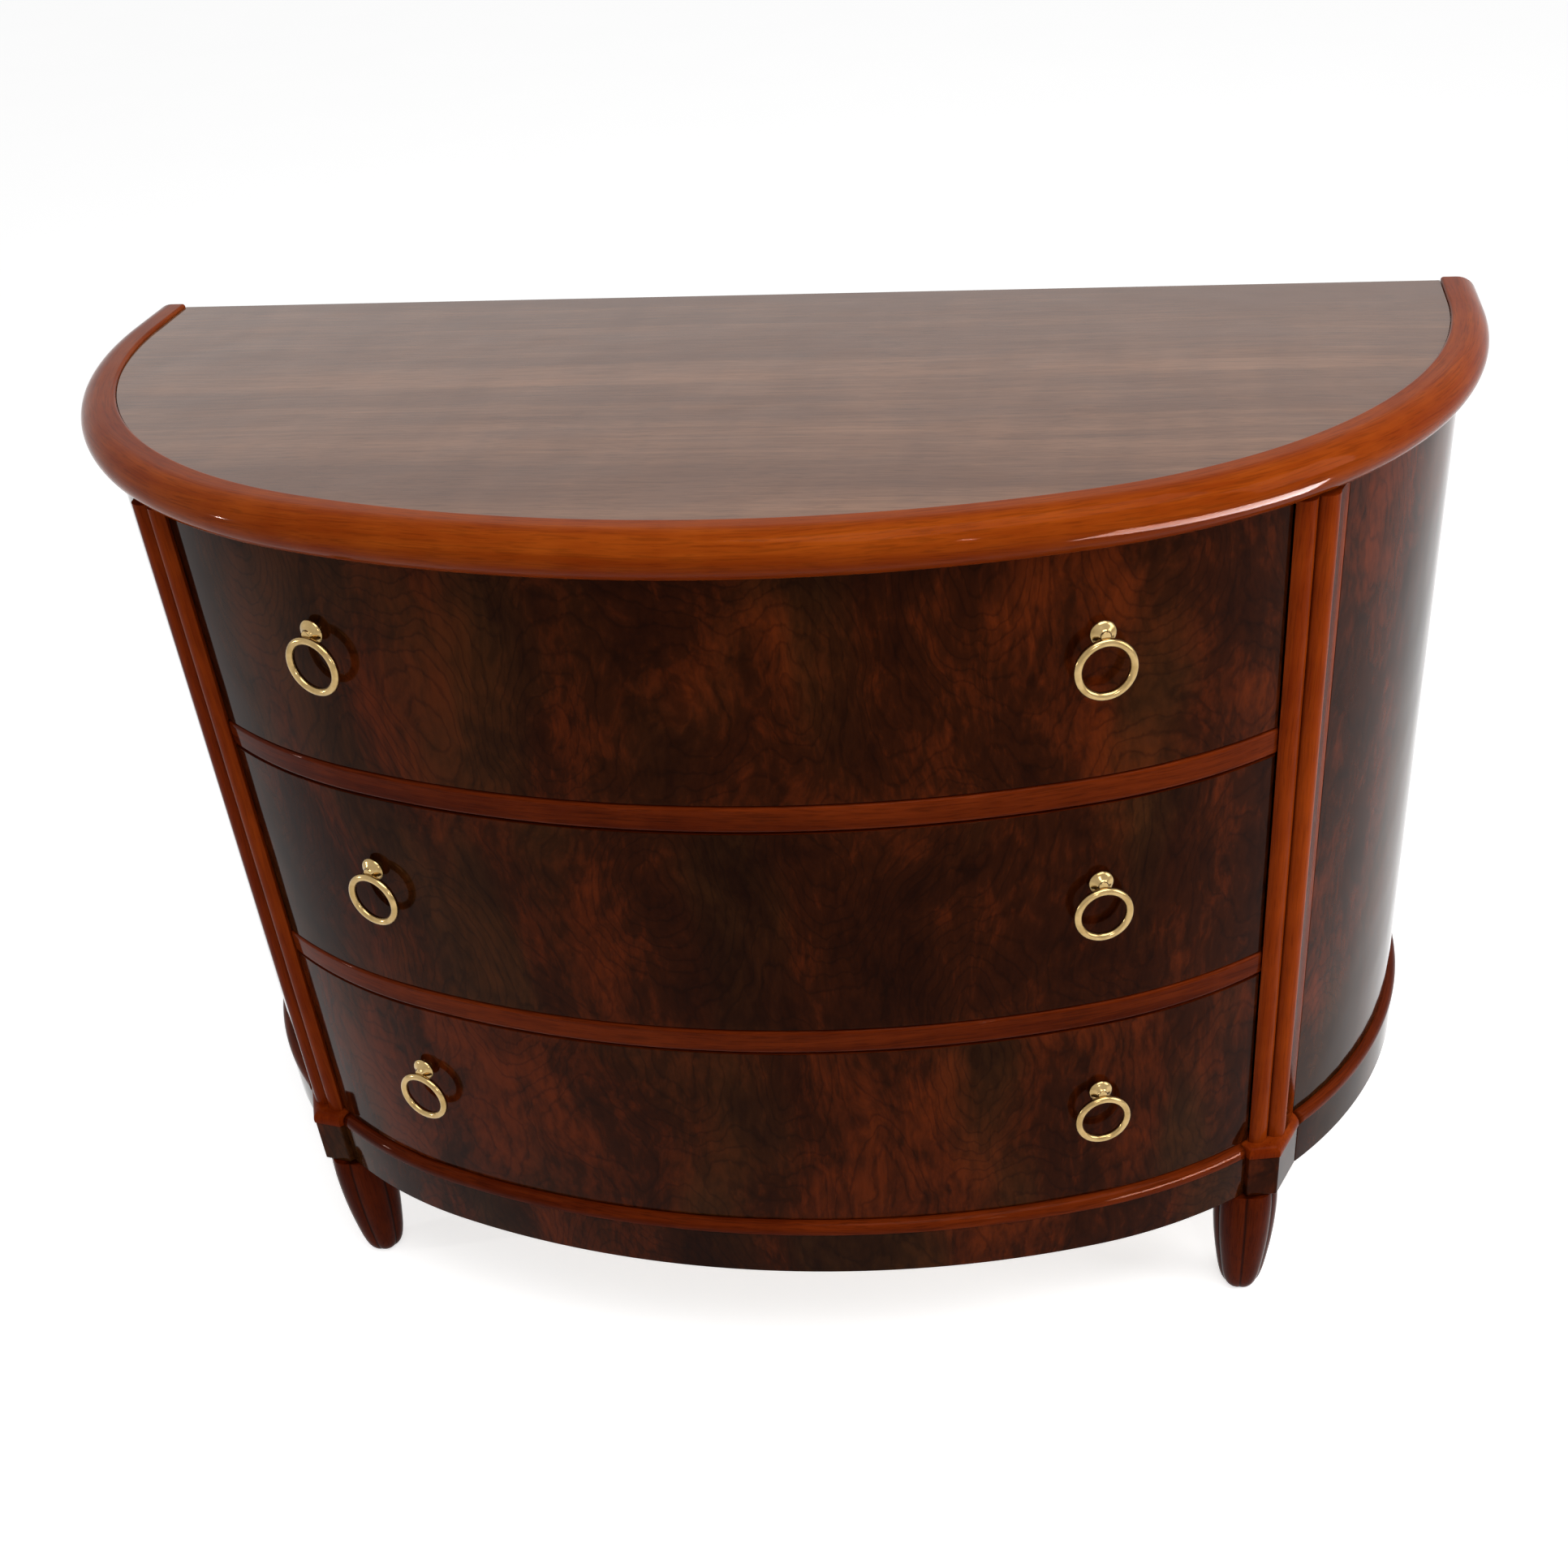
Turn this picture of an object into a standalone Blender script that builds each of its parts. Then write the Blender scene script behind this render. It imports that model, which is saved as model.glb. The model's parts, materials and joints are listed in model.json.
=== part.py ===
"""Demilune chest of drawers, built as the joiner builds it.

A half-moon carcass stands on a plinth and four lobed feet. Two curved side panels run from the back panel to
two reeded pilasters, and three bowed drawers slide between the pilasters on runners. A half-round nosing goes
round the top panel, a bead goes round the top of the plinth, and six ring pulls hang on the drawers.

Units are metres, +Z is up, the front faces -Y, and the origin is under the middle of the bounding box.

Every curved piece follows one plan curve, the edge of the top panel: a straight return at each back corner,
a side arc, and one long front arc. A place on it is given by the angle of its outward normal, from 0 at the
right side (+X) over a right angle at the front (-Y) to 180 degrees at the left side, and by its reach, the
distance outward from the curve.
"""
import bpy
import bmesh
from math import acos, asin, atan2, ceil, cos, pi, radians, sin, sqrt
from mathutils import Matrix, Vector

for old_object in list(bpy.data.objects):
    bpy.data.objects.remove(old_object, do_unlink=True)

# Plan curve, the edge of the top panel
HALF_WIDTH = 0.568
SIDE_RADIUS = 0.4165
FRONT_RADIUS = 0.867
RETURN_LENGTH = 0.058
SIDE_STEPS = 20
FRONT_STEPS = 12

# Heights, from the floor up
FOOT_HEIGHT = 0.131
PLINTH_HEIGHT = 0.046
BEAD_HEIGHT = 0.011
RAIL_HEIGHT = 0.0225
OPENING_HEIGHTS = {"bottom": 0.189, "middle": 0.191, "top": 0.186}
NOSING_THICKNESS = 0.038
PANEL_SETDOWN = 0.003

# Reaches of the curved faces, outward from the plan curve
FACE_REACH = 0.013
RAIL_PROUD = 0.0006
PLINTH_PROUD = 0.007
BEAD_LIP = 0.001
BEAD_DROP = 0.008
BEAD_STEPS = 4
NOSING_SETOUT = 0.0131
NOSING_EASE = 0.0025
NOSING_STEPS = 8

# Thicknesses
SIDE_PANEL_THICKNESS = 0.018
BACK_PANEL_THICKNESS = 0.010
BACK_REBATE_WIDTH = 0.008
PLINTH_THICKNESS = 0.0198
RAIL_DEPTH = 0.0536
RAIL_EASE = 0.003

# Pilasters and the blocks under them. Where a pilaster stands on the plan curve, the directions in which its
# reeds, its outer flank and the block's face look, and where the block's ridge is from the reeds' middle
PILASTER_PLACE = radians(47.16)
PILASTER_PROUD = 0.006
PILASTER_FACING = radians(60.2)
FLANK_FACING = radians(18)
REED_WIDTH = 0.0193
REED_RISE = 0.006
REED_STEPS = 8
BLOCK_FACING = radians(79)
BLOCK_INNER_PLACE = radians(50.5)
RIDGE_ALONG = 0.0019
RIDGE_PROUD = 0.0195
RIDGE_RADIUS = 0.0025
RIDGE_STEPS = 3
BLOCK_DEPTH = 0.040
REAR_BLOCK_WIDTH = 0.060
REAR_BLOCK_LENGTH = 0.060
REAR_BLOCK_INSET = 0.002

# Feet
FOOT_RADIUS = 0.0295
FRONT_FOOT_INSET = 0.0122
FRONT_FOOT_SETBACK = 0.0093
REAR_FOOT_REACH = -0.016
SPIGOT_RADIUS = 0.011
SPIGOT_LENGTH = 0.025
FOOT_LOBES = 6
STEPS_PER_LOBE = 4
LOBE_CENTRE_SHARE = 0.35
FOOT_PROFILE_SHARES = [(0.0, 0.36), (0.025, 0.50), (0.075, 0.62), (0.16, 0.72), (0.28, 0.81),
                       (0.43, 0.90), (0.60, 0.965), (0.78, 1.0), (0.92, 0.985), (1.0, 0.94)]

# Drawers
DRAWER_CLEARANCE = 0.0015
FRONT_THICKNESS = 0.024
FRONT_EASE = 0.0015
FRONT_OVERHANG = 0.017
DRAWER_SIDE_THICKNESS = 0.012
DRAWER_SIDE_HEIGHT = 0.150
DRAWER_BACK_THICKNESS = 0.012
DRAWER_BACK_DROP = 0.006
DRAWER_BASE_THICKNESS = 0.006
DRAWER_BASE_HEIGHT = 0.010
GROOVE_DEPTH = 0.005
SPACE_BEHIND_DRAWER = 0.020
HOUSING_DEPTH = 0.002
TAIL_LENGTH = 0.012
TAIL_TIP_WIDTH = 0.024
TAIL_ROOT_WIDTH = 0.018
FRONT_TAILS = 4
BACK_TAILS = 3

# Runners and guides
RUNNER_SUPPORT = 0.018
RUNNER_THICKNESS = 0.018
GUIDE_HEIGHT = 0.020
RUNNER_SETBACK = 0.0006

# Ring pulls
PULL_INSETS = {"bottom": 0.1325, "middle": 0.1340, "top": 0.1346}
PULL_HEIGHTS = {"bottom": 0.1212, "middle": 0.1217, "top": 0.1215}
RING_RADIUS = 0.0213
RING_WIRE_RADIUS = 0.0033
RING_STEPS = 24
RING_WIRE_STEPS = 8
EYE_REACH = 0.012
EYE_DROP = 0.0038
EYE_RADIUS = 0.0063
EYE_HOLE_RADIUS = 0.0042
EYE_WIDTH = 0.009
POST_STEPS = 12
POST_BASE_RADIUS = 0.006
POST_BASE_THICKNESS = 0.0015
POST_NECK_RADIUS = 0.0035
COLLAR_RADIUS = 0.01025
COLLAR_REACH = 0.004
COLLAR_THICKNESS = 0.003
COLLAR_EASE = 0.0008
POST_HORN_RADIUS = 0.0075
POST_TIP_RADIUS = 0.0038
POST_TIP_REACH = 0.0098
SHANK_RADIUS = 0.0025
SHANK_LENGTH = 0.018

# Working values: the gap that touching pieces keep, how far a cutter runs past what it cuts, the smallest
# facet left beside the end of a curved piece, and the angle up to which facets are shaded as one curve
GAP = 0.0003
OVERRUN = 0.010
SLIVER_ANGLE = radians(0.4)
SMOOTH_ANGLE = radians(32)

# Places worked out from the sizes above
SIDE_CENTRE_X = HALF_WIDTH - SIDE_RADIUS
JOIN_ANGLE = acos(SIDE_CENTRE_X / (FRONT_RADIUS - SIDE_RADIUS))
FRONT_CENTRE_BACK = (FRONT_RADIUS - SIDE_RADIUS) * sin(JOIN_ANGLE)
NOSING_REACH = NOSING_SETOUT + NOSING_THICKNESS / 2
OVERALL_DEPTH = RETURN_LENGTH - FRONT_CENTRE_BACK + FRONT_RADIUS + NOSING_REACH
BACK_Y = OVERALL_DEPTH / 2
SIDE_CENTRE_Y = BACK_Y - RETURN_LENGTH
FRONT_CENTRE_Y = SIDE_CENTRE_Y + FRONT_CENTRE_BACK
PLINTH_REACH = FACE_REACH + PLINTH_PROUD
BEAD_ROUND = PLINTH_PROUD + BEAD_LIP
BOARD_LOW = FOOT_HEIGHT + PLINTH_HEIGHT
BOARD_TOP = BOARD_LOW + BEAD_HEIGHT
FLOORS = {"bottom": BOARD_TOP}
FLOORS["middle"] = FLOORS["bottom"] + OPENING_HEIGHTS["bottom"] + RAIL_HEIGHT
FLOORS["top"] = FLOORS["middle"] + OPENING_HEIGHTS["middle"] + RAIL_HEIGHT
TOP_UNDERSIDE = FLOORS["top"] + OPENING_HEIGHTS["top"]
TOP_HEIGHT = TOP_UNDERSIDE + NOSING_THICKNESS
BACK_PANEL_FACE_Y = BACK_Y - BACK_PANEL_THICKNESS


# Plan curve
def rim(angle, reach):
    """The point of the plan curve whose outward normal has this angle, moved outward by reach."""
    if angle < JOIN_ANGLE:
        centre_x, centre_y, radius = SIDE_CENTRE_X, SIDE_CENTRE_Y, SIDE_RADIUS
    elif angle > pi - JOIN_ANGLE:
        centre_x, centre_y, radius = -SIDE_CENTRE_X, SIDE_CENTRE_Y, SIDE_RADIUS
    else:
        centre_x, centre_y, radius = 0.0, FRONT_CENTRE_Y, FRONT_RADIUS
    return (centre_x + (radius + reach) * cos(angle), centre_y - (radius + reach) * sin(angle))


def grid_angles():
    """The normals at which every curved piece has its facets, so that nested faces stay parallel."""
    right = [JOIN_ANGLE * step / SIDE_STEPS for step in range(SIDE_STEPS)]
    front_turn = pi - 2 * JOIN_ANGLE
    front = [JOIN_ANGLE + front_turn * step / FRONT_STEPS for step in range(FRONT_STEPS + 1)]
    left = [pi - angle for angle in reversed(right)]
    return right + front + left


GRID = grid_angles()


class Cut:
    """An end of a curved piece: its point and the angle of the normal there, for any reach."""

    def __init__(self, point, angle, square=False):
        self.point = point
        self.angle = angle
        self.square = square


def cut_at_back(side):
    """A piece that runs to the back, flush with the back panel."""
    beyond = -1.0 if side > 0 else pi + 1.0
    return Cut(lambda reach: (side * (HALF_WIDTH + reach), BACK_Y), lambda reach: beyond, square=True)


def cut_square(side, place, distance):
    """An end square to the curve, at a distance from a place on it, positive towards the back."""
    turned = place - distance / (SIDE_RADIUS + FACE_REACH)
    angle = turned if side > 0 else pi - turned
    return Cut(lambda reach: rim(angle, reach), lambda reach: angle, square=True)


def cut_at_width(x):
    """An end parallel to the drawers' travel, at a distance x from the middle of the chest."""
    def angle(reach):
        turned = acos((abs(x) - SIDE_CENTRE_X) / (SIDE_RADIUS + reach))
        return turned if x > 0 else pi - turned
    return Cut(lambda reach: rim(angle(reach), reach), angle)


def walk(start, end, reaches):
    """The plan points of a curved piece from cut to cut: for each step, a function of the reach."""
    first = max(start.angle(reach) for reach in reaches)
    last = min(end.angle(reach) for reach in reaches)
    inside = [angle for angle in GRID if first + SLIVER_ANGLE < angle < last - SLIVER_ANGLE]
    middle = [lambda reach, angle=angle: rim(angle, reach) for angle in inside]
    return fan(start, inside[0], reaches) + middle + list(reversed(fan(end, inside[-1], reaches)))


def fan(cut, nearest, reaches):
    """The steps from a slanting end to the nearest square facet, which narrow towards the sharper corner."""
    widest = max(abs(nearest - cut.angle(reach)) for reach in reaches)
    count = 1 if cut.square else ceil(widest * SIDE_STEPS / JOIN_ANGLE)

    def between(step):
        def point(reach):
            near = cut.angle(reach)
            return rim(near + (nearest - near) * step / count, reach)
        return point
    return [cut.point] + [between(step) for step in range(1, count)]


def front_y(x, reach):
    """How far forward the curved face at this reach is, at a distance x from the middle."""
    if abs(x) > SIDE_CENTRE_X + (SIDE_RADIUS + reach) * cos(JOIN_ANGLE):
        return SIDE_CENTRE_Y - sqrt((SIDE_RADIUS + reach) ** 2 - (abs(x) - SIDE_CENTRE_X) ** 2)
    return FRONT_CENTRE_Y - sqrt((FRONT_RADIUS + reach) ** 2 - x ** 2)


# Solids
def object_from(name, bm, material):
    """Close the bmesh into an object of its own, smooth on its curves and sharp on its edges."""
    bmesh.ops.recalc_face_normals(bm, faces=bm.faces)
    mesh = bpy.data.meshes.new(name)
    bm.to_mesh(mesh)
    bm.free()
    mesh.shade_smooth()
    mesh.set_sharp_from_angle(angle=SMOOTH_ANGLE)
    obj = bpy.data.objects.new(name, mesh)
    bpy.context.collection.objects.link(obj)
    if material is not None:
        mesh.materials.append(material)
    return obj


def loft(name, sections, material):
    """Join equal rings of points into one closed solid, with a flat cap at each end."""
    bm = bmesh.new()
    rings = [[bm.verts.new(point) for point in section] for section in sections]
    for near, far in zip(rings, rings[1:]):
        for index in range(len(near)):
            after = (index + 1) % len(near)
            bm.faces.new((near[index], near[after], far[after], far[index]))
    bm.faces.new(rings[0])
    bm.faces.new(rings[-1])
    return object_from(name, bm, material)


def prism(name, outline, low, high, material):
    """A flat outline in plan, raised from low to high."""
    bottom = [(x, y, low) for x, y in outline]
    top = [(x, y, high) for x, y in outline]
    return loft(name, [bottom, top], material)


def strip(name, profile, start, end, material):
    """A profile of (reach, height) points carried along the plan curve from cut to cut."""
    reaches = [reach for reach, _ in profile]
    sections = [[(*point(reach), height) for reach, height in profile] for point in walk(start, end, reaches)]
    return loft(name, sections, material)


def block(name, x_range, y_range, z_range, material):
    """A box between the given limits."""
    (x0, x1), (y0, y1) = x_range, y_range
    return prism(name, [(x0, y0), (x1, y0), (x1, y1), (x0, y1)], *z_range, material)


def board_edgewise(name, outline, x_range, material):
    """A (y, z) outline given a thickness along X, such as a drawer side."""
    return loft(name, [[(x, y, z) for y, z in outline] for x in x_range], material)


def turned(name, profile, steps, material):
    """A profile of (radius, height) points turned about the local Z axis, closed at both ends."""
    turns = [2 * pi * step / steps for step in range(steps)]
    sections = [[(radius * cos(turn), radius * sin(turn), height) for turn in turns]
                for radius, height in profile]
    return loft(name, sections, material)


def reshape(obj, tool, operation):
    """Cut a tool out of an object, or join it on, and use the tool up."""
    modifier = obj.modifiers.new("shape", "BOOLEAN")
    modifier.solver = "EXACT"
    modifier.operation = operation
    modifier.object = tool
    evaluated = obj.evaluated_get(bpy.context.evaluated_depsgraph_get())
    mesh = bpy.data.meshes.new_from_object(evaluated)
    obj.modifiers.clear()
    obj.data = mesh
    mesh.shade_smooth()
    mesh.set_sharp_from_angle(angle=SMOOTH_ANGLE)
    bpy.data.objects.remove(tool, do_unlink=True)


# Materials
def principled(name, colour, roughness, metallic=0.0):
    """A Principled material with one colour."""
    material = bpy.data.materials.new(name)
    material.use_nodes = True
    shader = material.node_tree.nodes["Principled BSDF"]
    shader.inputs["Base Color"].default_value = (*colour, 1.0)
    shader.inputs["Roughness"].default_value = roughness
    shader.inputs["Metallic"].default_value = metallic
    material.diffuse_color = (*colour, 1.0)
    return material


BURL = principled("burl_veneer", (0.050, 0.016, 0.008), 0.12)
TOP_VENEER = principled("top_veneer", (0.130, 0.055, 0.028), 0.15)
MAHOGANY = principled("mahogany", (0.190, 0.048, 0.016), 0.18)
CARCASS_WOOD = principled("carcass_wood", (0.380, 0.235, 0.120), 0.60)
BRASS = principled("brass", (0.780, 0.560, 0.250), 0.22, 1.0)


# Top
def build_top():
    prism("top_panel", board_outline(-GAP), TOP_UNDERSIDE, TOP_HEIGHT - PANEL_SETDOWN, TOP_VENEER)
    strip("top_nosing", nosing_profile(), cut_at_back(1), cut_at_back(-1), MAHOGANY)


def nosing_profile():
    """Square behind, half round in front, with the edge beside the panel eased."""
    radius = NOSING_THICKNESS / 2
    middle = TOP_UNDERSIDE + radius
    turns = [pi / 2 - pi * step / NOSING_STEPS for step in range(NOSING_STEPS + 1)]
    round_front = [(NOSING_SETOUT + radius * cos(turn), middle + radius * sin(turn)) for turn in turns]
    eased_edge = [(0.0, TOP_HEIGHT - NOSING_EASE), (NOSING_EASE, TOP_HEIGHT)]
    return [(0.0, TOP_UNDERSIDE)] + eased_edge + round_front


# Pilasters
def facing(angle):
    """The plan direction at this angle, counted as on the plan curve."""
    return Vector((cos(angle), -sin(angle)))


SIDE_CENTRE = Vector((SIDE_CENTRE_X, SIDE_CENTRE_Y))
PILASTER_MIDDLE = Vector(rim(PILASTER_PLACE, FACE_REACH + PILASTER_PROUD))
PILASTER_OUT = facing(PILASTER_FACING)
PILASTER_ALONG = facing(PILASTER_FACING - pi / 2)


def at_pilaster(along, proud):
    """A plan point beside the middle of the right pilaster's reeds, towards the back, and in front of it."""
    return PILASTER_MIDDLE + PILASTER_ALONG * along + PILASTER_OUT * proud


def mirrored(points, side):
    return [(side * x, y) for x, y in points]


def line_facing(point, angle, moved):
    """A plan line that faces at an angle, through a point and then moved that way, for crossing()."""
    return (point + facing(angle) * moved, angle)


def crossing(first, second):
    """Where two plan lines cross, each given by a point on it and the angle in which it faces."""
    (point_a, angle_a), (point_b, angle_b) = first, second
    out_a, out_b = facing(angle_a), facing(angle_b)
    level_a, level_b = out_a.dot(point_a), out_b.dot(point_b)
    slant = out_a.x * out_b.y - out_a.y * out_b.x
    return Vector((level_a * out_b.y - level_b * out_a.y, level_b * out_a.x - level_a * out_b.x)) / slant


def place_of_flank_end(start):
    """The place on the curve where a flank that runs back from a point comes to the side panel's face."""
    along = facing(FLANK_FACING - pi / 2)
    start = start - SIDE_CENTRE
    radius = SIDE_RADIUS + FACE_REACH
    before = start.dot(along)
    end = start - along * (before + sqrt(before ** 2 + radius ** 2 - start.length_squared))
    return acos(end.x / radius)


REEDS_INNER_END = at_pilaster(-REED_WIDTH, 0.0)
REEDS_OUTER_END = at_pilaster(REED_WIDTH, 0.0)
PILASTER_INNER_X = REEDS_INNER_END.x
PILASTER_END_PLACE = place_of_flank_end(REEDS_OUTER_END)
BLOCK_RIDGE = at_pilaster(RIDGE_ALONG, RIDGE_PROUD)
BLOCK_FLANK = Vector(rim(PILASTER_END_PLACE, PLINTH_REACH)) - BLOCK_RIDGE
BLOCK_FLANK_FACING = atan2(BLOCK_FLANK.x, BLOCK_FLANK.y)


def reed(middle):
    """The round front of one reed, an arc that stands REED_RISE out of the pilaster."""
    half = REED_WIDTH / 2
    radius = (half ** 2 + REED_RISE ** 2) / (2 * REED_RISE)
    spread = asin(half / radius)
    turns = [spread * (2 * step / REED_STEPS - 1) for step in range(REED_STEPS + 1)]
    return [at_pilaster(middle + radius * sin(turn), REED_RISE - radius + radius * cos(turn)) for turn in turns]


def pilaster_outline():
    """Two reeds, a flank that runs back to the side panel, and a side parallel to the drawers' travel."""
    half = REED_WIDTH / 2
    flank_end = rim(PILASTER_END_PLACE, FACE_REACH)
    back = rim(PILASTER_END_PLACE, FACE_REACH - SIDE_PANEL_THICKNESS)
    return reed(-half) + reed(half)[1:] + [flank_end, back, (PILASTER_INNER_X, back[1])]


def block_outline(grow, back_reach):
    """The plan of a plinth block: a face turned forward, a ridge and a flank, with its front moved by grow."""
    inner_facing = BLOCK_INNER_PLACE + pi / 2
    inner_side = line_facing(SIDE_CENTRE, inner_facing, grow)
    face = line_facing(BLOCK_RIDGE, BLOCK_FACING, grow)
    flank = line_facing(BLOCK_RIDGE, BLOCK_FLANK_FACING, grow)
    outer_side = line_facing(SIDE_CENTRE, PILASTER_END_PLACE - pi / 2, 0.0)
    behind_face = line_facing(BLOCK_RIDGE, BLOCK_FACING, grow - RIDGE_RADIUS)
    behind_flank = line_facing(BLOCK_RIDGE, BLOCK_FLANK_FACING, grow - RIDGE_RADIUS)
    ridge_centre = crossing(behind_face, behind_flank)
    spread = BLOCK_FLANK_FACING - BLOCK_FACING
    turns = [BLOCK_FACING + spread * step / RIDGE_STEPS for step in range(RIDGE_STEPS + 1)]
    ridge = [ridge_centre + facing(turn) * RIDGE_RADIUS for turn in turns]
    inner_back = Vector(rim(BLOCK_INNER_PLACE, back_reach)) + facing(inner_facing) * grow
    outer_back = rim(PILASTER_END_PLACE, back_reach)
    return [inner_back, crossing(inner_side, face)] + ridge + [crossing(flank, outer_side), outer_back]


def build_base_moulding(side):
    """The pilaster's base: the bead carried round the block, with its top edge rounded like the bead."""
    turns = [pi / 2 * step / BEAD_STEPS for step in range(BEAD_STEPS + 1)]
    levels = [(BOARD_LOW, 0.0)]
    levels += [(bead_level(turn), bead_inset(turn) - BEAD_ROUND) for turn in turns]
    sections = []
    for height, inset in levels:
        outline = mirrored(block_outline(BEAD_LIP + inset, -OVERRUN), side)
        sections.append([(x, y, height) for x, y in outline])
    return loft("base_moulding", sections, MAHOGANY)


def bead_inset(turn):
    """How far out the bead's round edge is, from its top inner end."""
    return BEAD_ROUND * cos(turn)


def bead_level(turn):
    """How high the bead's round edge is."""
    return BOARD_TOP - BEAD_DROP + BEAD_DROP * sin(turn)


def build_pilaster(side, hand):
    """A reeded post that stands on the bottom board, in one piece with its base moulding."""
    name = "pilaster_" + hand
    low = BOARD_TOP - BEAD_LIP
    post = prism(name, mirrored(pilaster_outline(), side), low, TOP_UNDERSIDE - GAP, MAHOGANY)
    reshape(post, build_base_moulding(side), "UNION")
    outline = board_outline(0.0)
    board_room = prism("board_room", outline, BOARD_LOW - OVERRUN, BOARD_TOP + GAP, None)
    reshape(post, board_room, "DIFFERENCE")


# Carcass
def build_side_panel(side, hand):
    """A curved panel from the back to the pilaster, rebated for the back panel."""
    inner = FACE_REACH - SIDE_PANEL_THICKNESS
    beside = cut_square(side, PILASTER_END_PLACE, GAP)
    back = cut_at_back(side)
    if side > 0:
        steps = walk(back, beside, [inner, FACE_REACH])
    else:
        steps = list(reversed(walk(beside, back, [inner, FACE_REACH])))
    outer_face = [point(FACE_REACH) for point in steps]
    inner_face = [point(inner) for point in reversed(steps[1:])]
    rebate_x = side * (HALF_WIDTH + inner + BACK_REBATE_WIDTH)
    rebate_y = BACK_PANEL_FACE_Y - GAP
    rebate = [(side * (HALF_WIDTH + inner), rebate_y), (rebate_x, rebate_y), (rebate_x, BACK_Y)]
    outline = outer_face + inner_face + rebate
    prism("side_panel_" + hand, outline, BOARD_TOP + GAP, TOP_UNDERSIDE - GAP, BURL)


def build_back_panel():
    half = HALF_WIDTH + FACE_REACH - SIDE_PANEL_THICKNESS + BACK_REBATE_WIDTH - GAP
    heights = (BOARD_TOP + GAP, TOP_UNDERSIDE - GAP)
    block("back_panel", (-half, half), (BACK_PANEL_FACE_Y, BACK_Y), heights, CARCASS_WOOD)


def board_outline(reach):
    """The plan of a board that fills the curve, moved outward by reach."""
    right_back = (HALF_WIDTH + reach, BACK_Y)
    left_back = (-HALF_WIDTH - reach, BACK_Y)
    return [right_back] + [rim(angle, reach) for angle in GRID] + [left_back]


def build_bottom_board():
    prism("bottom_board", board_outline(-GAP), BOARD_LOW, BOARD_TOP, CARCASS_WOOD)


def build_rail(name, low):
    """A curved rail between the pilasters, with its front edges eased."""
    front = FACE_REACH + RAIL_PROUD
    back = front - RAIL_DEPTH
    high = low + RAIL_HEIGHT
    profile = [(back, low), (back, high)]
    profile += [(front - RAIL_EASE, high), (front, high - RAIL_EASE)]
    profile += [(front, low + RAIL_EASE), (front - RAIL_EASE, low)]
    width = PILASTER_INNER_X - GAP
    strip(name, profile, cut_at_width(width), cut_at_width(-width), MAHOGANY)


# Plinth
def bead_profile():
    """Square behind, with a flat that the carcass stands on and a round front."""
    turns = [pi / 2 * (1 - step / BEAD_STEPS) for step in range(BEAD_STEPS + 1)]
    round_front = [(FACE_REACH + bead_inset(turn), bead_level(turn)) for turn in turns]
    return [(0.0, BOARD_LOW), (0.0, BOARD_TOP)] + round_front + [(FACE_REACH + BEAD_ROUND, BOARD_LOW)]


def plinth_profile():
    back = PLINTH_REACH - PLINTH_THICKNESS
    high = BOARD_LOW - GAP
    return [(back, FOOT_HEIGHT), (back, high), (PLINTH_REACH, high), (PLINTH_REACH, FOOT_HEIGHT)]


def build_plinth():
    """Bead and plinth in three lengths each, broken by the blocks under the pilasters."""
    lengths = [("bead", bead_profile(), BEAD_LIP + GAP, MAHOGANY), ("plinth", plinth_profile(), GAP, BURL)]
    for name, profile, beside, material in lengths:
        front_ends = [cut_square(side, BLOCK_INNER_PLACE, -beside) for side in (1, -1)]
        side_ends = [cut_square(side, PILASTER_END_PLACE, GAP) for side in (1, -1)]
        strip(name + "_front", profile, front_ends[0], front_ends[1], material)
        strip(name + "_right", profile, cut_at_back(1), side_ends[0], material)
        strip(name + "_left", profile, side_ends[1], cut_at_back(-1), material)


def build_front_block(side, hand):
    outline = mirrored(block_outline(0.0, PLINTH_REACH - BLOCK_DEPTH), side)
    name = "block_front_" + hand
    solid = prism(name, outline, FOOT_HEIGHT, BOARD_LOW - GAP, BURL)
    drill_for_spigot(solid, front_foot_place(side))


def build_rear_block(side, hand):
    outer = HALF_WIDTH + PLINTH_REACH - PLINTH_THICKNESS - GAP
    x_range = sorted((side * outer, side * (outer - REAR_BLOCK_WIDTH)))
    far = BACK_Y - REAR_BLOCK_INSET
    y_range = (far - REAR_BLOCK_LENGTH, far)
    name = "block_rear_" + hand
    solid = block(name, x_range, y_range, (FOOT_HEIGHT, BOARD_LOW - GAP), CARCASS_WOOD)
    drill_for_spigot(solid, rear_foot_place(side))


def build_plinth_back():
    """A rail between the rear blocks, under the back edge of the bottom board."""
    half = HALF_WIDTH + PLINTH_REACH - PLINTH_THICKNESS - GAP - REAR_BLOCK_WIDTH - GAP
    far = BACK_Y - REAR_BLOCK_INSET
    heights = (FOOT_HEIGHT, BOARD_LOW - GAP)
    block("plinth_back", (-half, half), (far - PLINTH_THICKNESS, far), heights, CARCASS_WOOD)


def drill_for_spigot(solid, place):
    """The hole that a foot's spigot is glued into."""
    radius = SPIGOT_RADIUS + GAP
    depth = FOOT_HEIGHT + SPIGOT_LENGTH + GAP
    profile = [(radius, FOOT_HEIGHT - OVERRUN), (radius, depth)]
    hole = turned("spigot_hole", profile, FOOT_LOBES * STEPS_PER_LOBE, None)
    hole.location = (*place, 0.0)
    reshape(solid, hole, "DIFFERENCE")


# Feet
def front_foot_place(side):
    x, y = at_pilaster(-FRONT_FOOT_INSET, -FRONT_FOOT_SETBACK)
    return (side * x, y)


def rear_foot_place(side):
    return (side * (HALF_WIDTH + REAR_FOOT_REACH), BACK_Y - REAR_BLOCK_INSET - REAR_BLOCK_LENGTH / 2)


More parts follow.
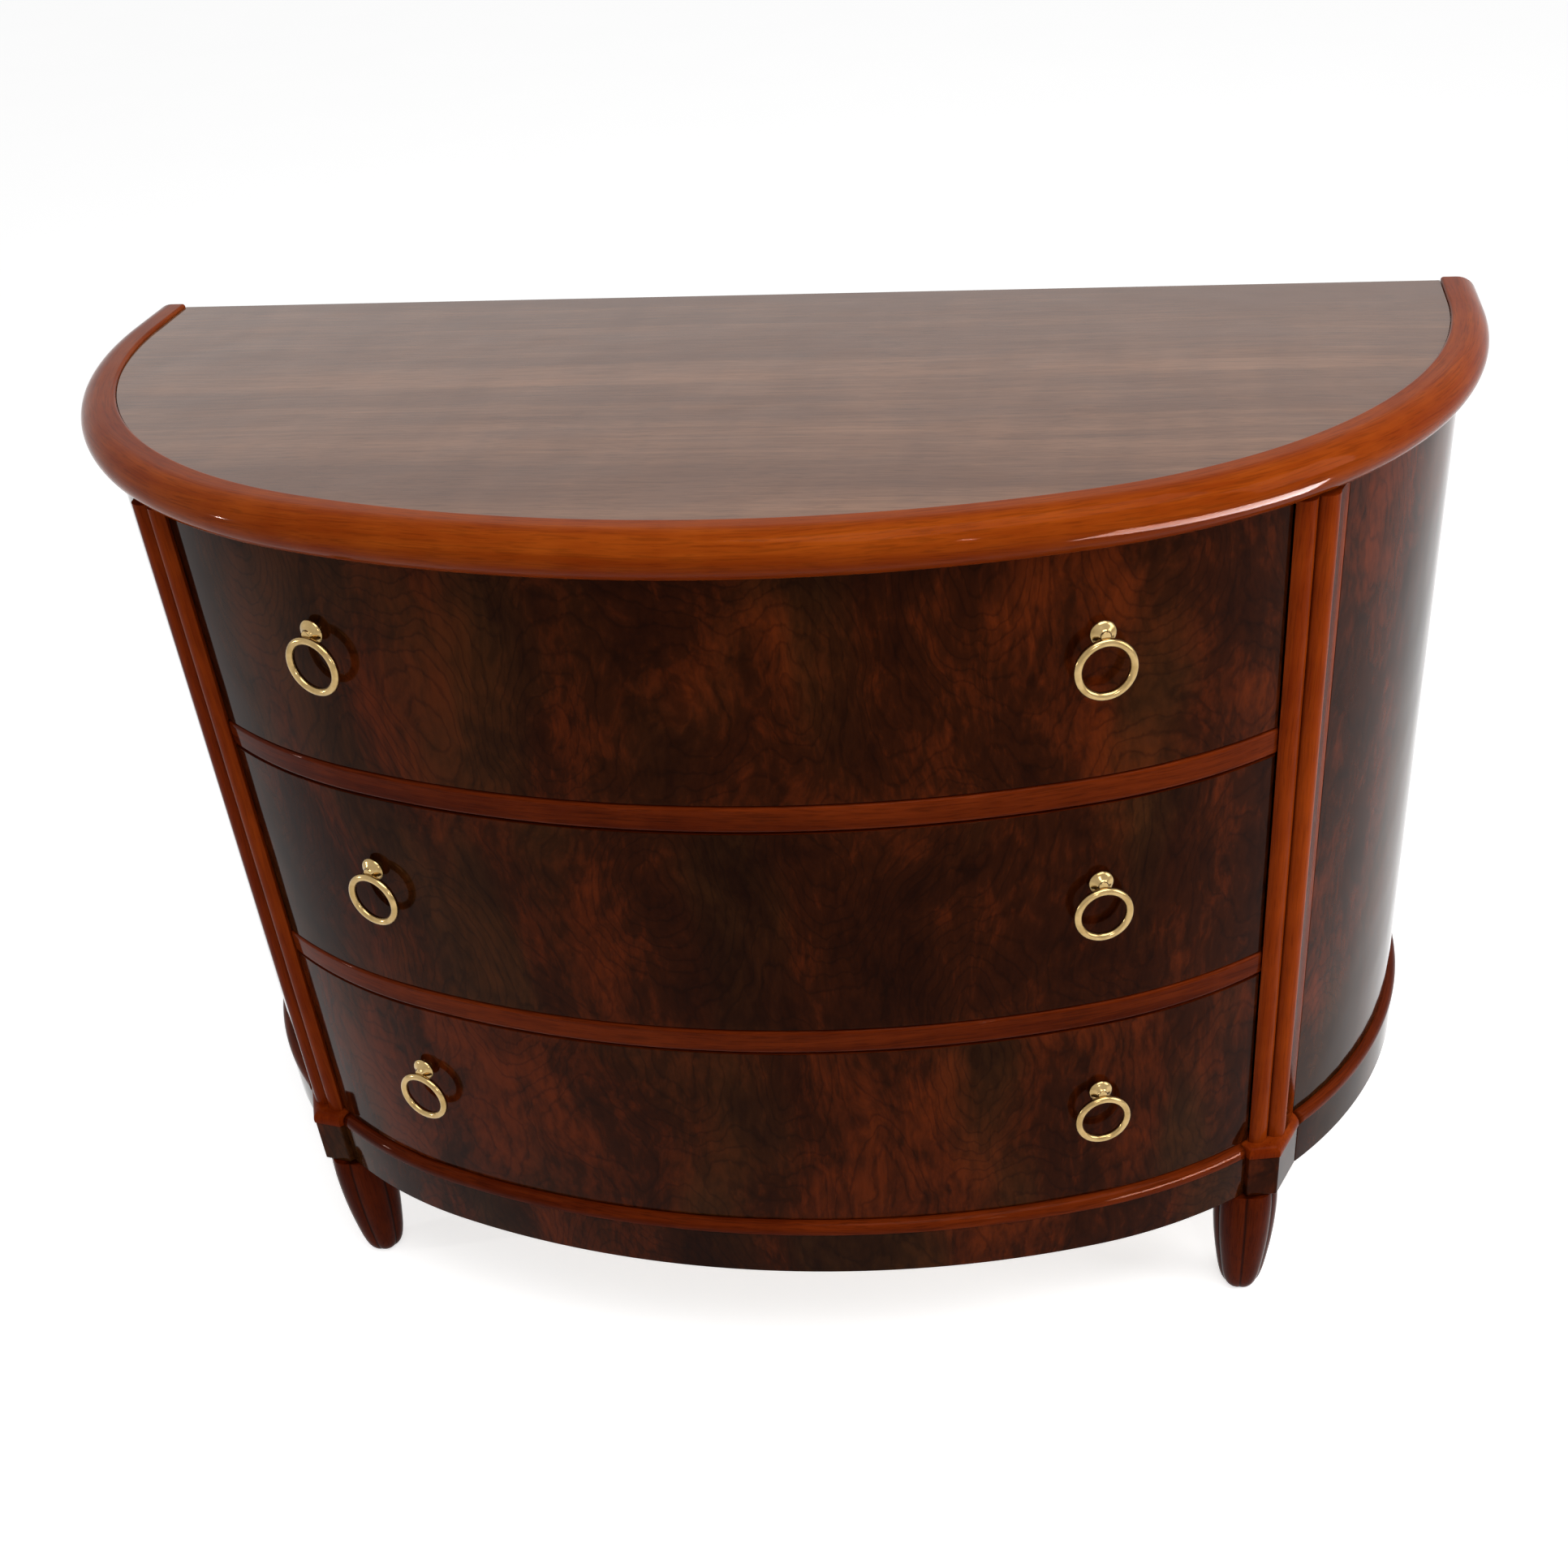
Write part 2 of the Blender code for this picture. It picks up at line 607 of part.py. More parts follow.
def lobe_share(turn):
    """The radius of a lobed section as a share of its largest, by the angle from the middle of a lobe."""
    bulge = 1.0 - LOBE_CENTRE_SHARE
    return LOBE_CENTRE_SHARE * cos(turn) + sqrt(bulge ** 2 - (LOBE_CENTRE_SHARE * sin(turn)) ** 2)


def foot_section(radius, height, lobed):
    """One ring of a foot: lobes whose grooves face straight forward and back, or a plain circle."""
    points = []
    for step in range(FOOT_LOBES * STEPS_PER_LOBE):
        in_lobe = (step % STEPS_PER_LOBE) / STEPS_PER_LOBE - 1 / 2
        turn = 2 * pi * step / (FOOT_LOBES * STEPS_PER_LOBE) - pi / 2
        length = radius * lobe_share(2 * pi / FOOT_LOBES * in_lobe) if lobed else radius
        points.append((length * cos(turn), length * sin(turn), height))
    return points


def build_foot(name, place):
    """A lobed foot that swells from a small pad to its full width, with a spigot on top."""
    height = FOOT_HEIGHT - GAP
    sections = [foot_section(share * FOOT_RADIUS, level * height, True) for level, share in FOOT_PROFILE_SHARES]
    sections.append(foot_section(SPIGOT_RADIUS, height, False))
    sections.append(foot_section(SPIGOT_RADIUS, FOOT_HEIGHT + SPIGOT_LENGTH, False))
    foot = loft(name, sections, MAHOGANY)
    foot.location = (*place, 0.0)


# Drawer sizes
FRONT_HALF_WIDTH = PILASTER_INNER_X - DRAWER_CLEARANCE
BOX_HALF_WIDTH = FRONT_HALF_WIDTH - FRONT_OVERHANG
BOX_INNER_X = BOX_HALF_WIDTH - DRAWER_SIDE_THICKNESS
BOX_BACK_Y = BACK_PANEL_FACE_Y - SPACE_BEHIND_DRAWER
FRONT_INNER_REACH = FACE_REACH - FRONT_THICKNESS
SHOULDER_Y = front_y(BOX_INNER_X, FRONT_INNER_REACH) - HOUSING_DEPTH


# Runners and guides
def build_runner(name, side, floor, under):
    """A guide strip beside a drawer, with or without the bearer under the drawer's side."""
    outer = PILASTER_INNER_X - GAP
    guide = BOX_HALF_WIDTH + DRAWER_CLEARANCE
    bearer = BOX_HALF_WIDTH - RUNNER_SUPPORT
    if under:
        low = floor - RUNNER_THICKNESS
        outline = [(bearer, low), (outer, low), (outer, floor + GUIDE_HEIGHT)]
        outline += [(guide, floor + GUIDE_HEIGHT), (guide, floor), (bearer, floor)]
    else:
        low = floor + GAP
        high = floor + GUIDE_HEIGHT
        outline = [(guide, low), (outer, low), (outer, high), (guide, high)]
    far = BACK_PANEL_FACE_Y - GAP
    near = front_y(outer, 0.0)
    sections = [[(side * x, y, z) for x, z in outline] for y in (near, far)]
    runner = loft(name, sections, CARCASS_WOOD)
    inner = FACE_REACH + RAIL_PROUD - RAIL_DEPTH - RUNNER_SETBACK
    heights = (low - OVERRUN, floor + GUIDE_HEIGHT + OVERRUN)
    profile = [(inner, heights[0]), (inner, heights[1]), (OVERRUN, heights[1]), (OVERRUN, heights[0])]
    rail_room = strip("rail_room", profile, cut_at_back(1), cut_at_back(-1), None)
    reshape(runner, rail_room, "DIFFERENCE")


# Drawer joints
def tails(root, tip, low, high, count, grow):
    """Dovetails up an end, as (y, z) points: wide at the tip and narrow at the root."""
    pitch = (high - low) / count
    points = []
    for index in range(count):
        middle = low + pitch * (index + 1 / 2)
        narrow = TAIL_ROOT_WIDTH / 2 + grow
        wide = TAIL_TIP_WIDTH / 2 + grow
        points += [(root, middle - narrow), (tip, middle - wide), (tip, middle + wide), (root, middle + narrow)]
    return points


def side_outline(grow):
    """A drawer side from its side: tails into the front, and tails through the back, above the base."""
    low = GAP
    high = DRAWER_SIDE_HEIGHT
    front_root = SHOULDER_Y - grow
    front_tails = tails(front_root, front_root - TAIL_LENGTH, low, high, FRONT_TAILS, grow)
    back_root = BOX_BACK_Y - DRAWER_BACK_THICKNESS + grow
    back_low = back_board_low() - GAP + grow
    back_tip = BOX_BACK_Y + grow
    back_tails = tails(back_root, back_tip, back_board_low(), high, BACK_TAILS, grow)
    back_edge = [(back_root, high + grow)] + list(reversed(back_tails))
    back_edge += [(back_root, back_low), (back_tip, back_low), (back_tip, low - grow)]
    return [(front_root, low - grow)] + front_tails + [(front_root, high + grow)] + back_edge


def back_board_low():
    """The back board stands on the base, which slides in under it."""
    return GAP + DRAWER_BASE_HEIGHT + DRAWER_BASE_THICKNESS + GAP


def side_solid(name, side, grow, material):
    x_range = (BOX_INNER_X - grow, BOX_HALF_WIDTH + grow)
    return board_edgewise(name, side_outline(grow), [side * x for x in x_range], material)


def base_solid(name, grow, material):
    """The drawer's base: straight at the back and sides, and curved along the front."""
    reach = FRONT_INNER_REACH + GROOVE_DEPTH - GAP + grow
    width = BOX_INNER_X + GROOVE_DEPTH - GAP + grow
    curve = [point(reach) for point in walk(cut_at_width(width), cut_at_width(-width), [reach])]
    outline = curve + [(-width, BOX_BACK_Y + grow), (width, BOX_BACK_Y + grow)]
    low = GAP + DRAWER_BASE_HEIGHT
    return prism(name, outline, low - grow, low + DRAWER_BASE_THICKNESS + grow, material)


# Drawers
def front_profile(opening):
    """The drawer front's section, with its show edges eased."""
    low = DRAWER_CLEARANCE
    high = opening - DRAWER_CLEARANCE
    profile = [(FRONT_INNER_REACH, low), (FRONT_INNER_REACH, high)]
    profile += [(FACE_REACH - FRONT_EASE, high), (FACE_REACH, high - FRONT_EASE)]
    return profile + [(FACE_REACH, low + FRONT_EASE), (FACE_REACH - FRONT_EASE, low)]


def build_drawer(level):
    """A bowed front with two sides dovetailed into it, a back, and a base in grooves."""
    stem = "drawer_" + level + "_"
    ends = (cut_at_width(FRONT_HALF_WIDTH), cut_at_width(-FRONT_HALF_WIDTH))
    front = strip(stem + "front", front_profile(OPENING_HEIGHTS[level]), *ends, BURL)
    back_heights = (back_board_low(), DRAWER_SIDE_HEIGHT - DRAWER_BACK_DROP)
    back_range = (BOX_BACK_Y - DRAWER_BACK_THICKNESS, BOX_BACK_Y)
    back = block(stem + "back", (-BOX_HALF_WIDTH, BOX_HALF_WIDTH), back_range, back_heights, CARCASS_WOOD)
    base = base_solid(stem + "base", 0.0, CARCASS_WOOD)
    pieces = [front, back, base]
    for side, hand in ((1, "right"), (-1, "left")):
        board = side_solid(stem + "side_" + hand, side, 0.0, CARCASS_WOOD)
        reshape(board, base_solid("groove", GAP, None), "DIFFERENCE")
        reshape(front, side_solid("socket", side, GAP, None), "DIFFERENCE")
        reshape(back, side_solid("socket", side, GAP, None), "DIFFERENCE")
        pieces.append(board)
    reshape(front, base_solid("groove", GAP, None), "DIFFERENCE")
    for side, hand in ((1, "right"), (-1, "left")):
        place = (side, FRONT_HALF_WIDTH - PULL_INSETS[level], PULL_HEIGHTS[level])
        drill_for_pull(front, place)
        pieces.append(build_post("pull_post_" + level + "_" + hand, place))
        pieces.append(build_ring("pull_ring_" + level + "_" + hand, place))
    for piece in pieces:
        piece.location.z += FLOORS[level]


# Ring pulls
def pull_frame(place, reach, raised):
    """A frame on a drawer's face: X along the face, Y up, Z straight out of it, at a given reach."""
    side, distance, height = place
    turned = acos(distance / (FRONT_RADIUS + FACE_REACH))
    angle = turned if side > 0 else pi - turned
    out = Vector((cos(angle), -sin(angle), 0.0))
    up = Vector((0.0, 0.0, 1.0))
    along = up.cross(out)
    x, y = rim(angle, FACE_REACH + reach)
    turn = Matrix((along, up, out)).transposed().to_4x4()
    return Matrix.Translation((x, y, height + raised)) @ turn


def drill_for_pull(front, place):
    """The blind hole that a pull's shank is screwed into."""
    radius = SHANK_RADIUS + GAP
    profile = [(radius, -SHANK_LENGTH - GAP), (radius, OVERRUN)]
    hole = turned("shank_hole", profile, POST_STEPS, None)
    hole.matrix_world = pull_frame(place, 0.0, 0.0)
    reshape(front, hole, "DIFFERENCE")


def post_profile():
    """Shank, base, neck, flared collar and the horn that carries the eye, from the inside out."""
    collar_front = COLLAR_REACH + COLLAR_THICKNESS
    profile = [(SHANK_RADIUS, -SHANK_LENGTH), (SHANK_RADIUS, GAP), (POST_BASE_RADIUS, GAP)]
    profile += [(POST_BASE_RADIUS, POST_BASE_THICKNESS), (POST_NECK_RADIUS, 2 * POST_BASE_THICKNESS)]
    profile += [(POST_NECK_RADIUS, COLLAR_REACH - COLLAR_EASE), (COLLAR_RADIUS - COLLAR_EASE, COLLAR_REACH)]
    profile += [(COLLAR_RADIUS, COLLAR_REACH + COLLAR_EASE), (COLLAR_RADIUS, collar_front - COLLAR_EASE)]
    profile += [(COLLAR_RADIUS - COLLAR_EASE, collar_front), (POST_HORN_RADIUS, collar_front)]
    return profile + [(POST_TIP_RADIUS, POST_TIP_REACH), (POST_TIP_RADIUS, EYE_REACH)]


def build_post(name, place):
    """A turned post with a flared collar, and the eye that the ring hangs in."""
    post = turned(name, post_profile(), POST_STEPS, BRASS)
    reshape(post, across("eye", EYE_RADIUS, EYE_WIDTH), "UNION")
    reshape(post, across("eye_hole", EYE_HOLE_RADIUS, EYE_WIDTH + OVERRUN), "DIFFERENCE")
    post.matrix_world = pull_frame(place, 0.0, 0.0)
    return post


def across(name, radius, width):
    """A round bar along the pull's local X axis, centred on the eye."""
    turns = [2 * pi * (step + 1 / 2) / POST_STEPS for step in range(POST_STEPS)]
    section = [(radius * cos(turn) - EYE_DROP, radius * sin(turn) + EYE_REACH) for turn in turns]
    sections = [[(x, y, z) for y, z in section] for x in (-width / 2, width / 2)]
    return loft(name, sections, BRASS)


def build_ring(name, place):
    """A round ring that hangs in the eye, with its origin on the eye's axis."""
    sections = []
    for step in range(RING_STEPS + 1):
        turn = 2 * pi * (step + 1 / 2) / RING_STEPS
        sections.append(ring_section(turn))
    bm = bmesh.new()
    rings = [[bm.verts.new(point) for point in section] for section in sections[:-1]]
    for index, near in enumerate(rings):
        far = rings[(index + 1) % RING_STEPS]
        for corner in range(RING_WIRE_STEPS):
            after = (corner + 1) % RING_WIRE_STEPS
            bm.faces.new((near[corner], near[after], far[after], far[corner]))
    ring = object_from(name, bm, BRASS)
    ring.matrix_world = pull_frame(place, EYE_REACH, -EYE_DROP)
    return ring


def ring_section(turn):
    """One ring of points round the wire."""
    points = []
    for corner in range(RING_WIRE_STEPS):
        wire_turn = 2 * pi * corner / RING_WIRE_STEPS
        radius = RING_RADIUS + RING_WIRE_RADIUS * cos(wire_turn)
        out = RING_WIRE_RADIUS * sin(wire_turn)
        points.append((radius * sin(turn), radius * cos(turn) - RING_RADIUS, out))
    return points


# Whole chest
def build_chest():
    build_top()
    build_back_panel()
    build_bottom_board()
    build_plinth()
    build_plinth_back()
    build_rail("drawer_rail_lower", FLOORS["middle"] - RAIL_HEIGHT)
    build_rail("drawer_rail_upper", FLOORS["top"] - RAIL_HEIGHT)
    for side, hand in ((1, "right"), (-1, "left")):
        build_side_panel(side, hand)
        build_pilaster(side, hand)
        build_front_block(side, hand)
        build_rear_block(side, hand)
        build_foot("foot_front_" + hand, front_foot_place(side))
        build_foot("foot_rear_" + hand, rear_foot_place(side))
        build_runner("runner_upper_" + hand, side, FLOORS["top"], True)
        build_runner("runner_lower_" + hand, side, FLOORS["middle"], True)
        build_runner("guide_" + hand, side, FLOORS["bottom"], False)
    for level in ("bottom", "middle", "top"):
        build_drawer(level)


build_chest()
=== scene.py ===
"""Finished look of the half-moon chest of drawers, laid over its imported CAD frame.

The bowed pieces are made anew with fine facets by carrying a profile round the plan curve, the turned and
lobed pieces are spun and extruded, and all others are merged copies of their CAD solids with eased edges.
Every wooden piece carries a coordinate field called grain, whose first axis runs along the wood, so that one
finish fits straight and bowed pieces alike.
"""
import json
import math

import bmesh
import bpy
from bpy.props import FloatProperty, FloatVectorProperty, IntProperty, PointerProperty
from mathutils import Matrix, Vector

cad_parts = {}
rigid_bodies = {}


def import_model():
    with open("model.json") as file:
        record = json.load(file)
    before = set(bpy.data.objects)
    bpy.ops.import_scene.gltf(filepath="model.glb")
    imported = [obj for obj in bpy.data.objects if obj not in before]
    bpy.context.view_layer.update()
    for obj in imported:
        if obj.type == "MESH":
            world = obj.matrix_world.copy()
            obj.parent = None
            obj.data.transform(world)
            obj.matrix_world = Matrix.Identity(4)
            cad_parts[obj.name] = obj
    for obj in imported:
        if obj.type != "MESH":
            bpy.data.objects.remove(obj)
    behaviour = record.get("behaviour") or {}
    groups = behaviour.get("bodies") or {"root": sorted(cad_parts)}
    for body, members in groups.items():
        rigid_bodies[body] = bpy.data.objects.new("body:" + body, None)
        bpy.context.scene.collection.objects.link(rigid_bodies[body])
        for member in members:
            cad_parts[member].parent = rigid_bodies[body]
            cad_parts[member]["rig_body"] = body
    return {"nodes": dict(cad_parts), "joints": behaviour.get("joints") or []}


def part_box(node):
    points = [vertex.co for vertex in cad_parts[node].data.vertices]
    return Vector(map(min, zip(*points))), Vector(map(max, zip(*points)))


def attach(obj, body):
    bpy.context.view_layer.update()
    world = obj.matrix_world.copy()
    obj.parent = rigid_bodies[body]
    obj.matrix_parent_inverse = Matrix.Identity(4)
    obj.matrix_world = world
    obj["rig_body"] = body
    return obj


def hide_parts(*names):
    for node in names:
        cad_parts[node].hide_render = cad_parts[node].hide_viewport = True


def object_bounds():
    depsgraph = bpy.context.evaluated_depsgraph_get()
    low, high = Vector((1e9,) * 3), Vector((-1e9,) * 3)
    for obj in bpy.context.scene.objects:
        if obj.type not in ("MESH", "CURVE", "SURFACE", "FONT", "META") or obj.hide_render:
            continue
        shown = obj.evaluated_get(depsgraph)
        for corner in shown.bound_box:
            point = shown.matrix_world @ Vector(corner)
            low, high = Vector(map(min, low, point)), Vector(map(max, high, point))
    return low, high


bl_info = {
    "name": "Half-moon chest of drawers",
    "version": (1, 0, 0),
    "blender": (4, 5, 0),
    "location": "3D View > Sidebar > Chest",
    "description": "Makes the finished pieces, the finishes and the studio of a half-moon chest of drawers",
    "category": "Object",
}

for leftover in list(bpy.data.objects):
    bpy.data.objects.remove(leftover, do_unlink=True)

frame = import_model()
CAD_LOW, CAD_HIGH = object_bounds()
LEVELS = ("bottom", "middle", "top")
HANDS = ("right", "left")
WHITE = (1.0, 1.0, 1.0, 1.0)

# Lengths below which two places count as one, in metres
TINY = 1e-6
NEAR = 1e-5
FACE_NEAR = 1e-4
WELD = 2e-5

# Angles between faces, for outer corners, grooves, flat places and small rounds
CORNER_ANGLE = math.radians(40)
GROOVE_ANGLE = math.radians(12)
FLAT_ANGLE = math.radians(0.5)
FACET_ANGLE = math.radians(9)

# Steps of an edge that is well rounded
ROUND_EDGE = 4

# Roundings of edges, in metres
EASE_TOP = 0.0004
EASE_FRONT = 0.0012
EASE_PLINTH = 0.0010
EASE_MOULDING = 0.0006
EASE_THICK_BOARD = 0.0008
EASE_BOARD = 0.0005
EASE_DRAWER_BOX = 0.0004
EASE_DRAWER_BASE = 0.0003


# Kinds of property
def a_length(name, default, description):
    return FloatProperty(name=name, description=description, default=default, unit="LENGTH")


def an_angle(name, default, description):
    return FloatProperty(name=name, description=description, default=default, unit="ROTATION")


def a_colour(name, default, description):
    return FloatVectorProperty(name=name, description=description, default=default, size=3, subtype="COLOR")


def a_share(name, default, description, most=1.0):
    return FloatProperty(name=name, description=description, default=default, min=0.0, max=most,
                         subtype="FACTOR")


def a_number(name, default, description, least, most):
    return FloatProperty(name=name, description=description, default=default, min=least, max=most)


# Sizes and colours
class ChestSizes(bpy.types.PropertyGroup):
    """The plan curve and the sections of the pieces that are made anew."""

    half_width: a_length("Half width of top panel", 0.568, "From the middle to the edge of the top panel")
    side_radius: a_length("Side arc radius", 0.4165, "Radius of the plan curve at the sides")
    front_radius: a_length("Front arc radius", 0.867, "Radius of the plan curve across the front")
    return_length: a_length("Return", 0.058, "Straight length at each back corner")
    face_reach: a_length("Face reach", 0.013, "How far the veneered faces stand out from the plan curve")
    front_thickness: a_length("Drawer front", 0.024, "Thickness of a drawer front")
    rail_depth: a_length("Rail depth", 0.0536, "Depth of a rail from front to back")
    rail_proud: a_length("Rail proud", 0.0006, "How far the rails stand out from the drawer fronts")
    rail_ease: a_length("Rail rounding", 0.0032, "Rounding of the two front edges of a rail")
    nosing_setout: a_length("Nosing setout", 0.0131, "From the plan curve to the centre of its round")
    nosing_ease: a_length("Nosing inner edge", 0.0025, "Rounding of the nosing beside the top panel")
    plinth_proud: a_length("Plinth proud", 0.007, "How far the plinth stands out from the drawer fronts")
    plinth_thickness: a_length("Plinth board", 0.0198, "Thickness of the plinth boards")
    bead_round: a_length("Bead rounding", 0.008, "Radius of the bead over the plinth")
    arc_step: an_angle("Facet", math.radians(1.0), "Largest turn of one facet of a bowed piece")
    wood_ease: a_length("Eased edge", 0.0008, "Rounding of the two back ends of the nosing")
    foot_radius: a_length("Foot radius", 0.0295, "Largest radius of a lobed foot")
    foot_lobes: IntProperty(name="Lobes", default=6, min=3, max=12, description="Lobes round a foot")
    lobe_depth: a_share("Lobe depth", 0.35, "Distance of the lobes' centres from the middle, as a share", 0.6)
    ring_radius: a_length("Ring radius", 0.0213, "Radius of a ring to the middle of its wire")
    wire_radius: a_length("Wire radius", 0.0033, "Radius of the wire of a ring")
    hinge_reach: a_length("Hinge reach", 0.012, "From the drawer front to the line that a ring swings about")
    hinge_drop: a_length("Hinge drop", 0.0038, "How far that line lies under the middle of the post")


class FinishColours(bpy.types.PropertyGroup):
    """The colours of the woods, the lacquer and the brass, from dark to light."""

    burl_dark: a_colour("Burl, dark", (0.0045, 0.0008, 0.0003), "Darkest figure of the burl veneer")
    burl_mid: a_colour("Burl, middle", (0.0225, 0.0042, 0.0008), "Ground of the burl veneer")
    burl_light: a_colour("Burl, light", (0.0940, 0.0140, 0.0021), "Brightest swirls of the burl veneer")
    burl_olive: a_colour("Burl, olive", (0.0340, 0.0130, 0.0032), "Olive-brown clouds in the burl veneer")
    top_dark: a_colour("Top, dark", (0.106, 0.050, 0.028), "Dark streaks of the top veneer")
    top_light: a_colour("Top, light", (0.255, 0.130, 0.072), "Light streaks of the top veneer")
    nosing_dark: a_colour("Nosing, dark", (0.170, 0.021, 0.0012), "Dark streaks of the nosing")
    nosing_light: a_colour("Nosing, light", (0.340, 0.068, 0.0055), "Light streaks of the nosing")
    trim_dark: a_colour("Trim, dark", (0.045, 0.0042, 0.0004), "Dark streaks of rails, bead and feet")
    trim_light: a_colour("Trim, light", (0.150, 0.0205, 0.0024), "Light streaks of rails, bead and feet")
    reed_dark: a_colour("Reeds, dark", (0.120, 0.012, 0.0008), "Dark streaks of the pilasters")
    reed_light: a_colour("Reeds, light", (0.280, 0.043, 0.0035), "Light streaks of the pilasters")
    board_dark: a_colour("Boards, dark", (0.300, 0.165, 0.075), "Dark streaks of the carcass boards")
    board_light: a_colour("Boards, light", (0.520, 0.330, 0.170), "Light streaks of the carcass boards")
    brass_bright: a_colour("Brass, bright", (0.440, 0.305, 0.135), "Polished brass")
    brass_dull: a_colour("Brass, dull", (0.310, 0.205, 0.080), "Brass where it has gone darker")


class FinishSurface(bpy.types.PropertyGroup):
    """Gloss and scale of the finishes."""

    lacquer_gloss: a_share("Lacquer gloss", 0.035, "How much the fronts mirror, seen square on")
    top_gloss: a_share("Top gloss", 0.30, "How much the top mirrors, seen square on")
    # Painted light: the side panels get a lighter copy of the burl, standing in for the light that falls on
    # them
    side_lift: a_number("Side lift", 1.15, "How much lighter the side panels are than the fronts", 0.2, 5.0)
    side_gloss: a_share("Side gloss", 0.05, "How much the side panels mirror, seen square on")
    lacquer_tint: a_colour("Lacquer tint", (1.0, 0.24, 0.06), "Colour of what is mirrored square on")
    coat_share: a_share("Wax coat", 0.02, "Strength of the clear wax over the lacquer")
    lacquer_roughness: a_share("Lacquer roughness", 0.035, "Roughness of the lacquer coat")
    burl_scale: a_number("Burl scale", 1.0, "Size of the figure, where 2 is half as large", 0.2, 5.0)
    brass_roughness: a_share("Brass roughness", 0.15, "Roughness of the polished brass")


class StudioSettings(bpy.types.PropertyGroup):
    """Camera, lights and floor."""

    camera_place: FloatVectorProperty(
        name="Camera", description="Where the camera stands", default=(0.3268, -1.4545, 1.3580), size=3,
        subtype="TRANSLATION", unit="LENGTH")
    camera_yaw: an_angle("Yaw", 0.16109, "Turn of the camera to the left of straight ahead")
    camera_pitch: an_angle("Pitch", 0.64694, "How far the camera looks down")
    camera_roll: an_angle("Roll", -0.07131, "Turn of the camera about its view")
    focal_share: a_number("Focal length", 1.22299, "As a share of the picture's width", 0.2, 10.0)
    shift_x: a_number("Shift across", -0.0671, "Sideways shift of the lens", -1.0, 1.0)
    shift_y: a_number("Shift up", 0.1390, "Upward shift of the lens", -1.0, 1.0)
    room_light: a_number("Room light", 0.34, "Brightness of the surroundings as soft light", 0.0, 2.0)
    key_power: a_number("Key light", 62.0, "Large soft light overhead, in watts", 0.0, 1000.0)
    window_power: a_number("Window light", 26.0, "Soft light at the right, in watts", 0.0, 1000.0)
    lamp_power: a_number("Small lamps", 6.0, "Each lamp beside the camera, in watts", 0.0, 100.0)
    strip_power: a_number("Strip light", 90.0, "Strip that lights the right edges, in watts", 0.0, 100.0)
    floor_colour: a_colour("Floor", (0.80, 0.80, 0.80), "Colour of the floor")
    floor_glow: a_number("Floor glow", 0.68, "Part of the floor's white that no shadow takes away", 0.0, 1.0)


def sizes():
    return bpy.context.scene.chest_sizes


def colours():
    return bpy.context.scene.chest_colours


def surface():
    return bpy.context.scene.chest_surface


def studio():
    return bpy.context.scene.chest_studio


# Plan curve
class Plan:
    """The edge of the top panel: a return, a side arc, the front arc, a side arc and a return."""

    def __init__(self):
        size = sizes()
        self.side_x = size.half_width - size.side_radius
        self.side_y = CAD_HIGH.y - size.return_length
        self.join = math.acos(self.side_x / (size.front_radius - size.side_radius))
        self.front_y = self.side_y + (size.front_radius - size.side_radius) * math.sin(self.join)
        self.side_radius = size.side_radius
        self.front_radius = size.front_radius
        self.half_width = size.half_width
        self.side_face = size.side_radius + size.face_reach
        self.front_face = size.front_radius + size.face_reach
        self.front_half = self.front_face * (math.pi / 2 - self.join)

    def arcs(self):
        """Each arc as the places where it begins and ends and its centre, from the right side to the left."""
        return ((0.0, self.join, Vector((self.side_x, self.side_y, 0.0))),
                (self.join, math.pi - self.join, Vector((0.0, self.front_y, 0.0))),
                (math.pi - self.join, math.pi, Vector((-self.side_x, self.side_y, 0.0))))

    def unrolled(self, point):
        """A point as its distance along the face from the middle of the front, its reach and its height."""
        side = 1 if point.x >= 0 else -1
        x = abs(point.x)
        if point.y > self.side_y:
            along = self.front_half + self.side_face * self.join + point.y - self.side_y
            return Vector((side * along, x - self.half_width, point.z))
        from_side = Vector((x - self.side_x, self.side_y - point.y))
        beyond = self.join - math.atan2(from_side.y, from_side.x)
        if beyond > 0.0:
            along = self.front_half + self.side_face * beyond
            return Vector((side * along, from_side.length - self.side_radius, point.z))
        from_front = Vector((x, self.front_y - point.y))
        along = self.front_face * (math.pi / 2 - math.atan2(from_front.y, from_front.x))
        return Vector((side * along, from_front.length - self.front_radius, point.z))

    def place_at(self, along):
        """The place on the curve at a distance from the middle of the front, positive to the right."""
        beyond = max(abs(along) - self.front_half, 0.0)
        turn = min(abs(along), self.front_half) / self.front_face + beyond / self.side_face
        return math.pi / 2 - math.copysign(turn, along)


# Making of meshes
def verts_in(geometry):
    return [item for item in geometry if isinstance(item, bmesh.types.BMVert)]


def edges_in(geometry):
    return [item for item in geometry if isinstance(item, bmesh.types.BMEdge)]


def set_at(bm, plan, place):
    """Move a section that was drawn at the right end of the plan curve to a place on it."""
    for begin, end, centre in plan.arcs():
        if place > begin:
            clockwise = Matrix.Rotation(begin - min(place, end), 3, "Z")
            bmesh.ops.rotate(bm, verts=bm.verts[:], cent=centre, matrix=clockwise)


def carry(bm, plan, section, first, last):
    """Spin a section round the plan curve from one place to another. Gives the section at the far end."""
    step = sizes().arc_step
    for begin, end, centre in plan.arcs():
        low, high = max(begin, first), min(end, last)
        if high - low < TINY:
            continue
        count = max(1, math.ceil((high - low) / step))
        spun = bmesh.ops.spin(bm, geom=section, cent=centre, axis=(0.0, 0.0, 1.0), angle=low - high,
                              steps=count, use_duplicate=False)
        section = spun["geom_last"]
    return section


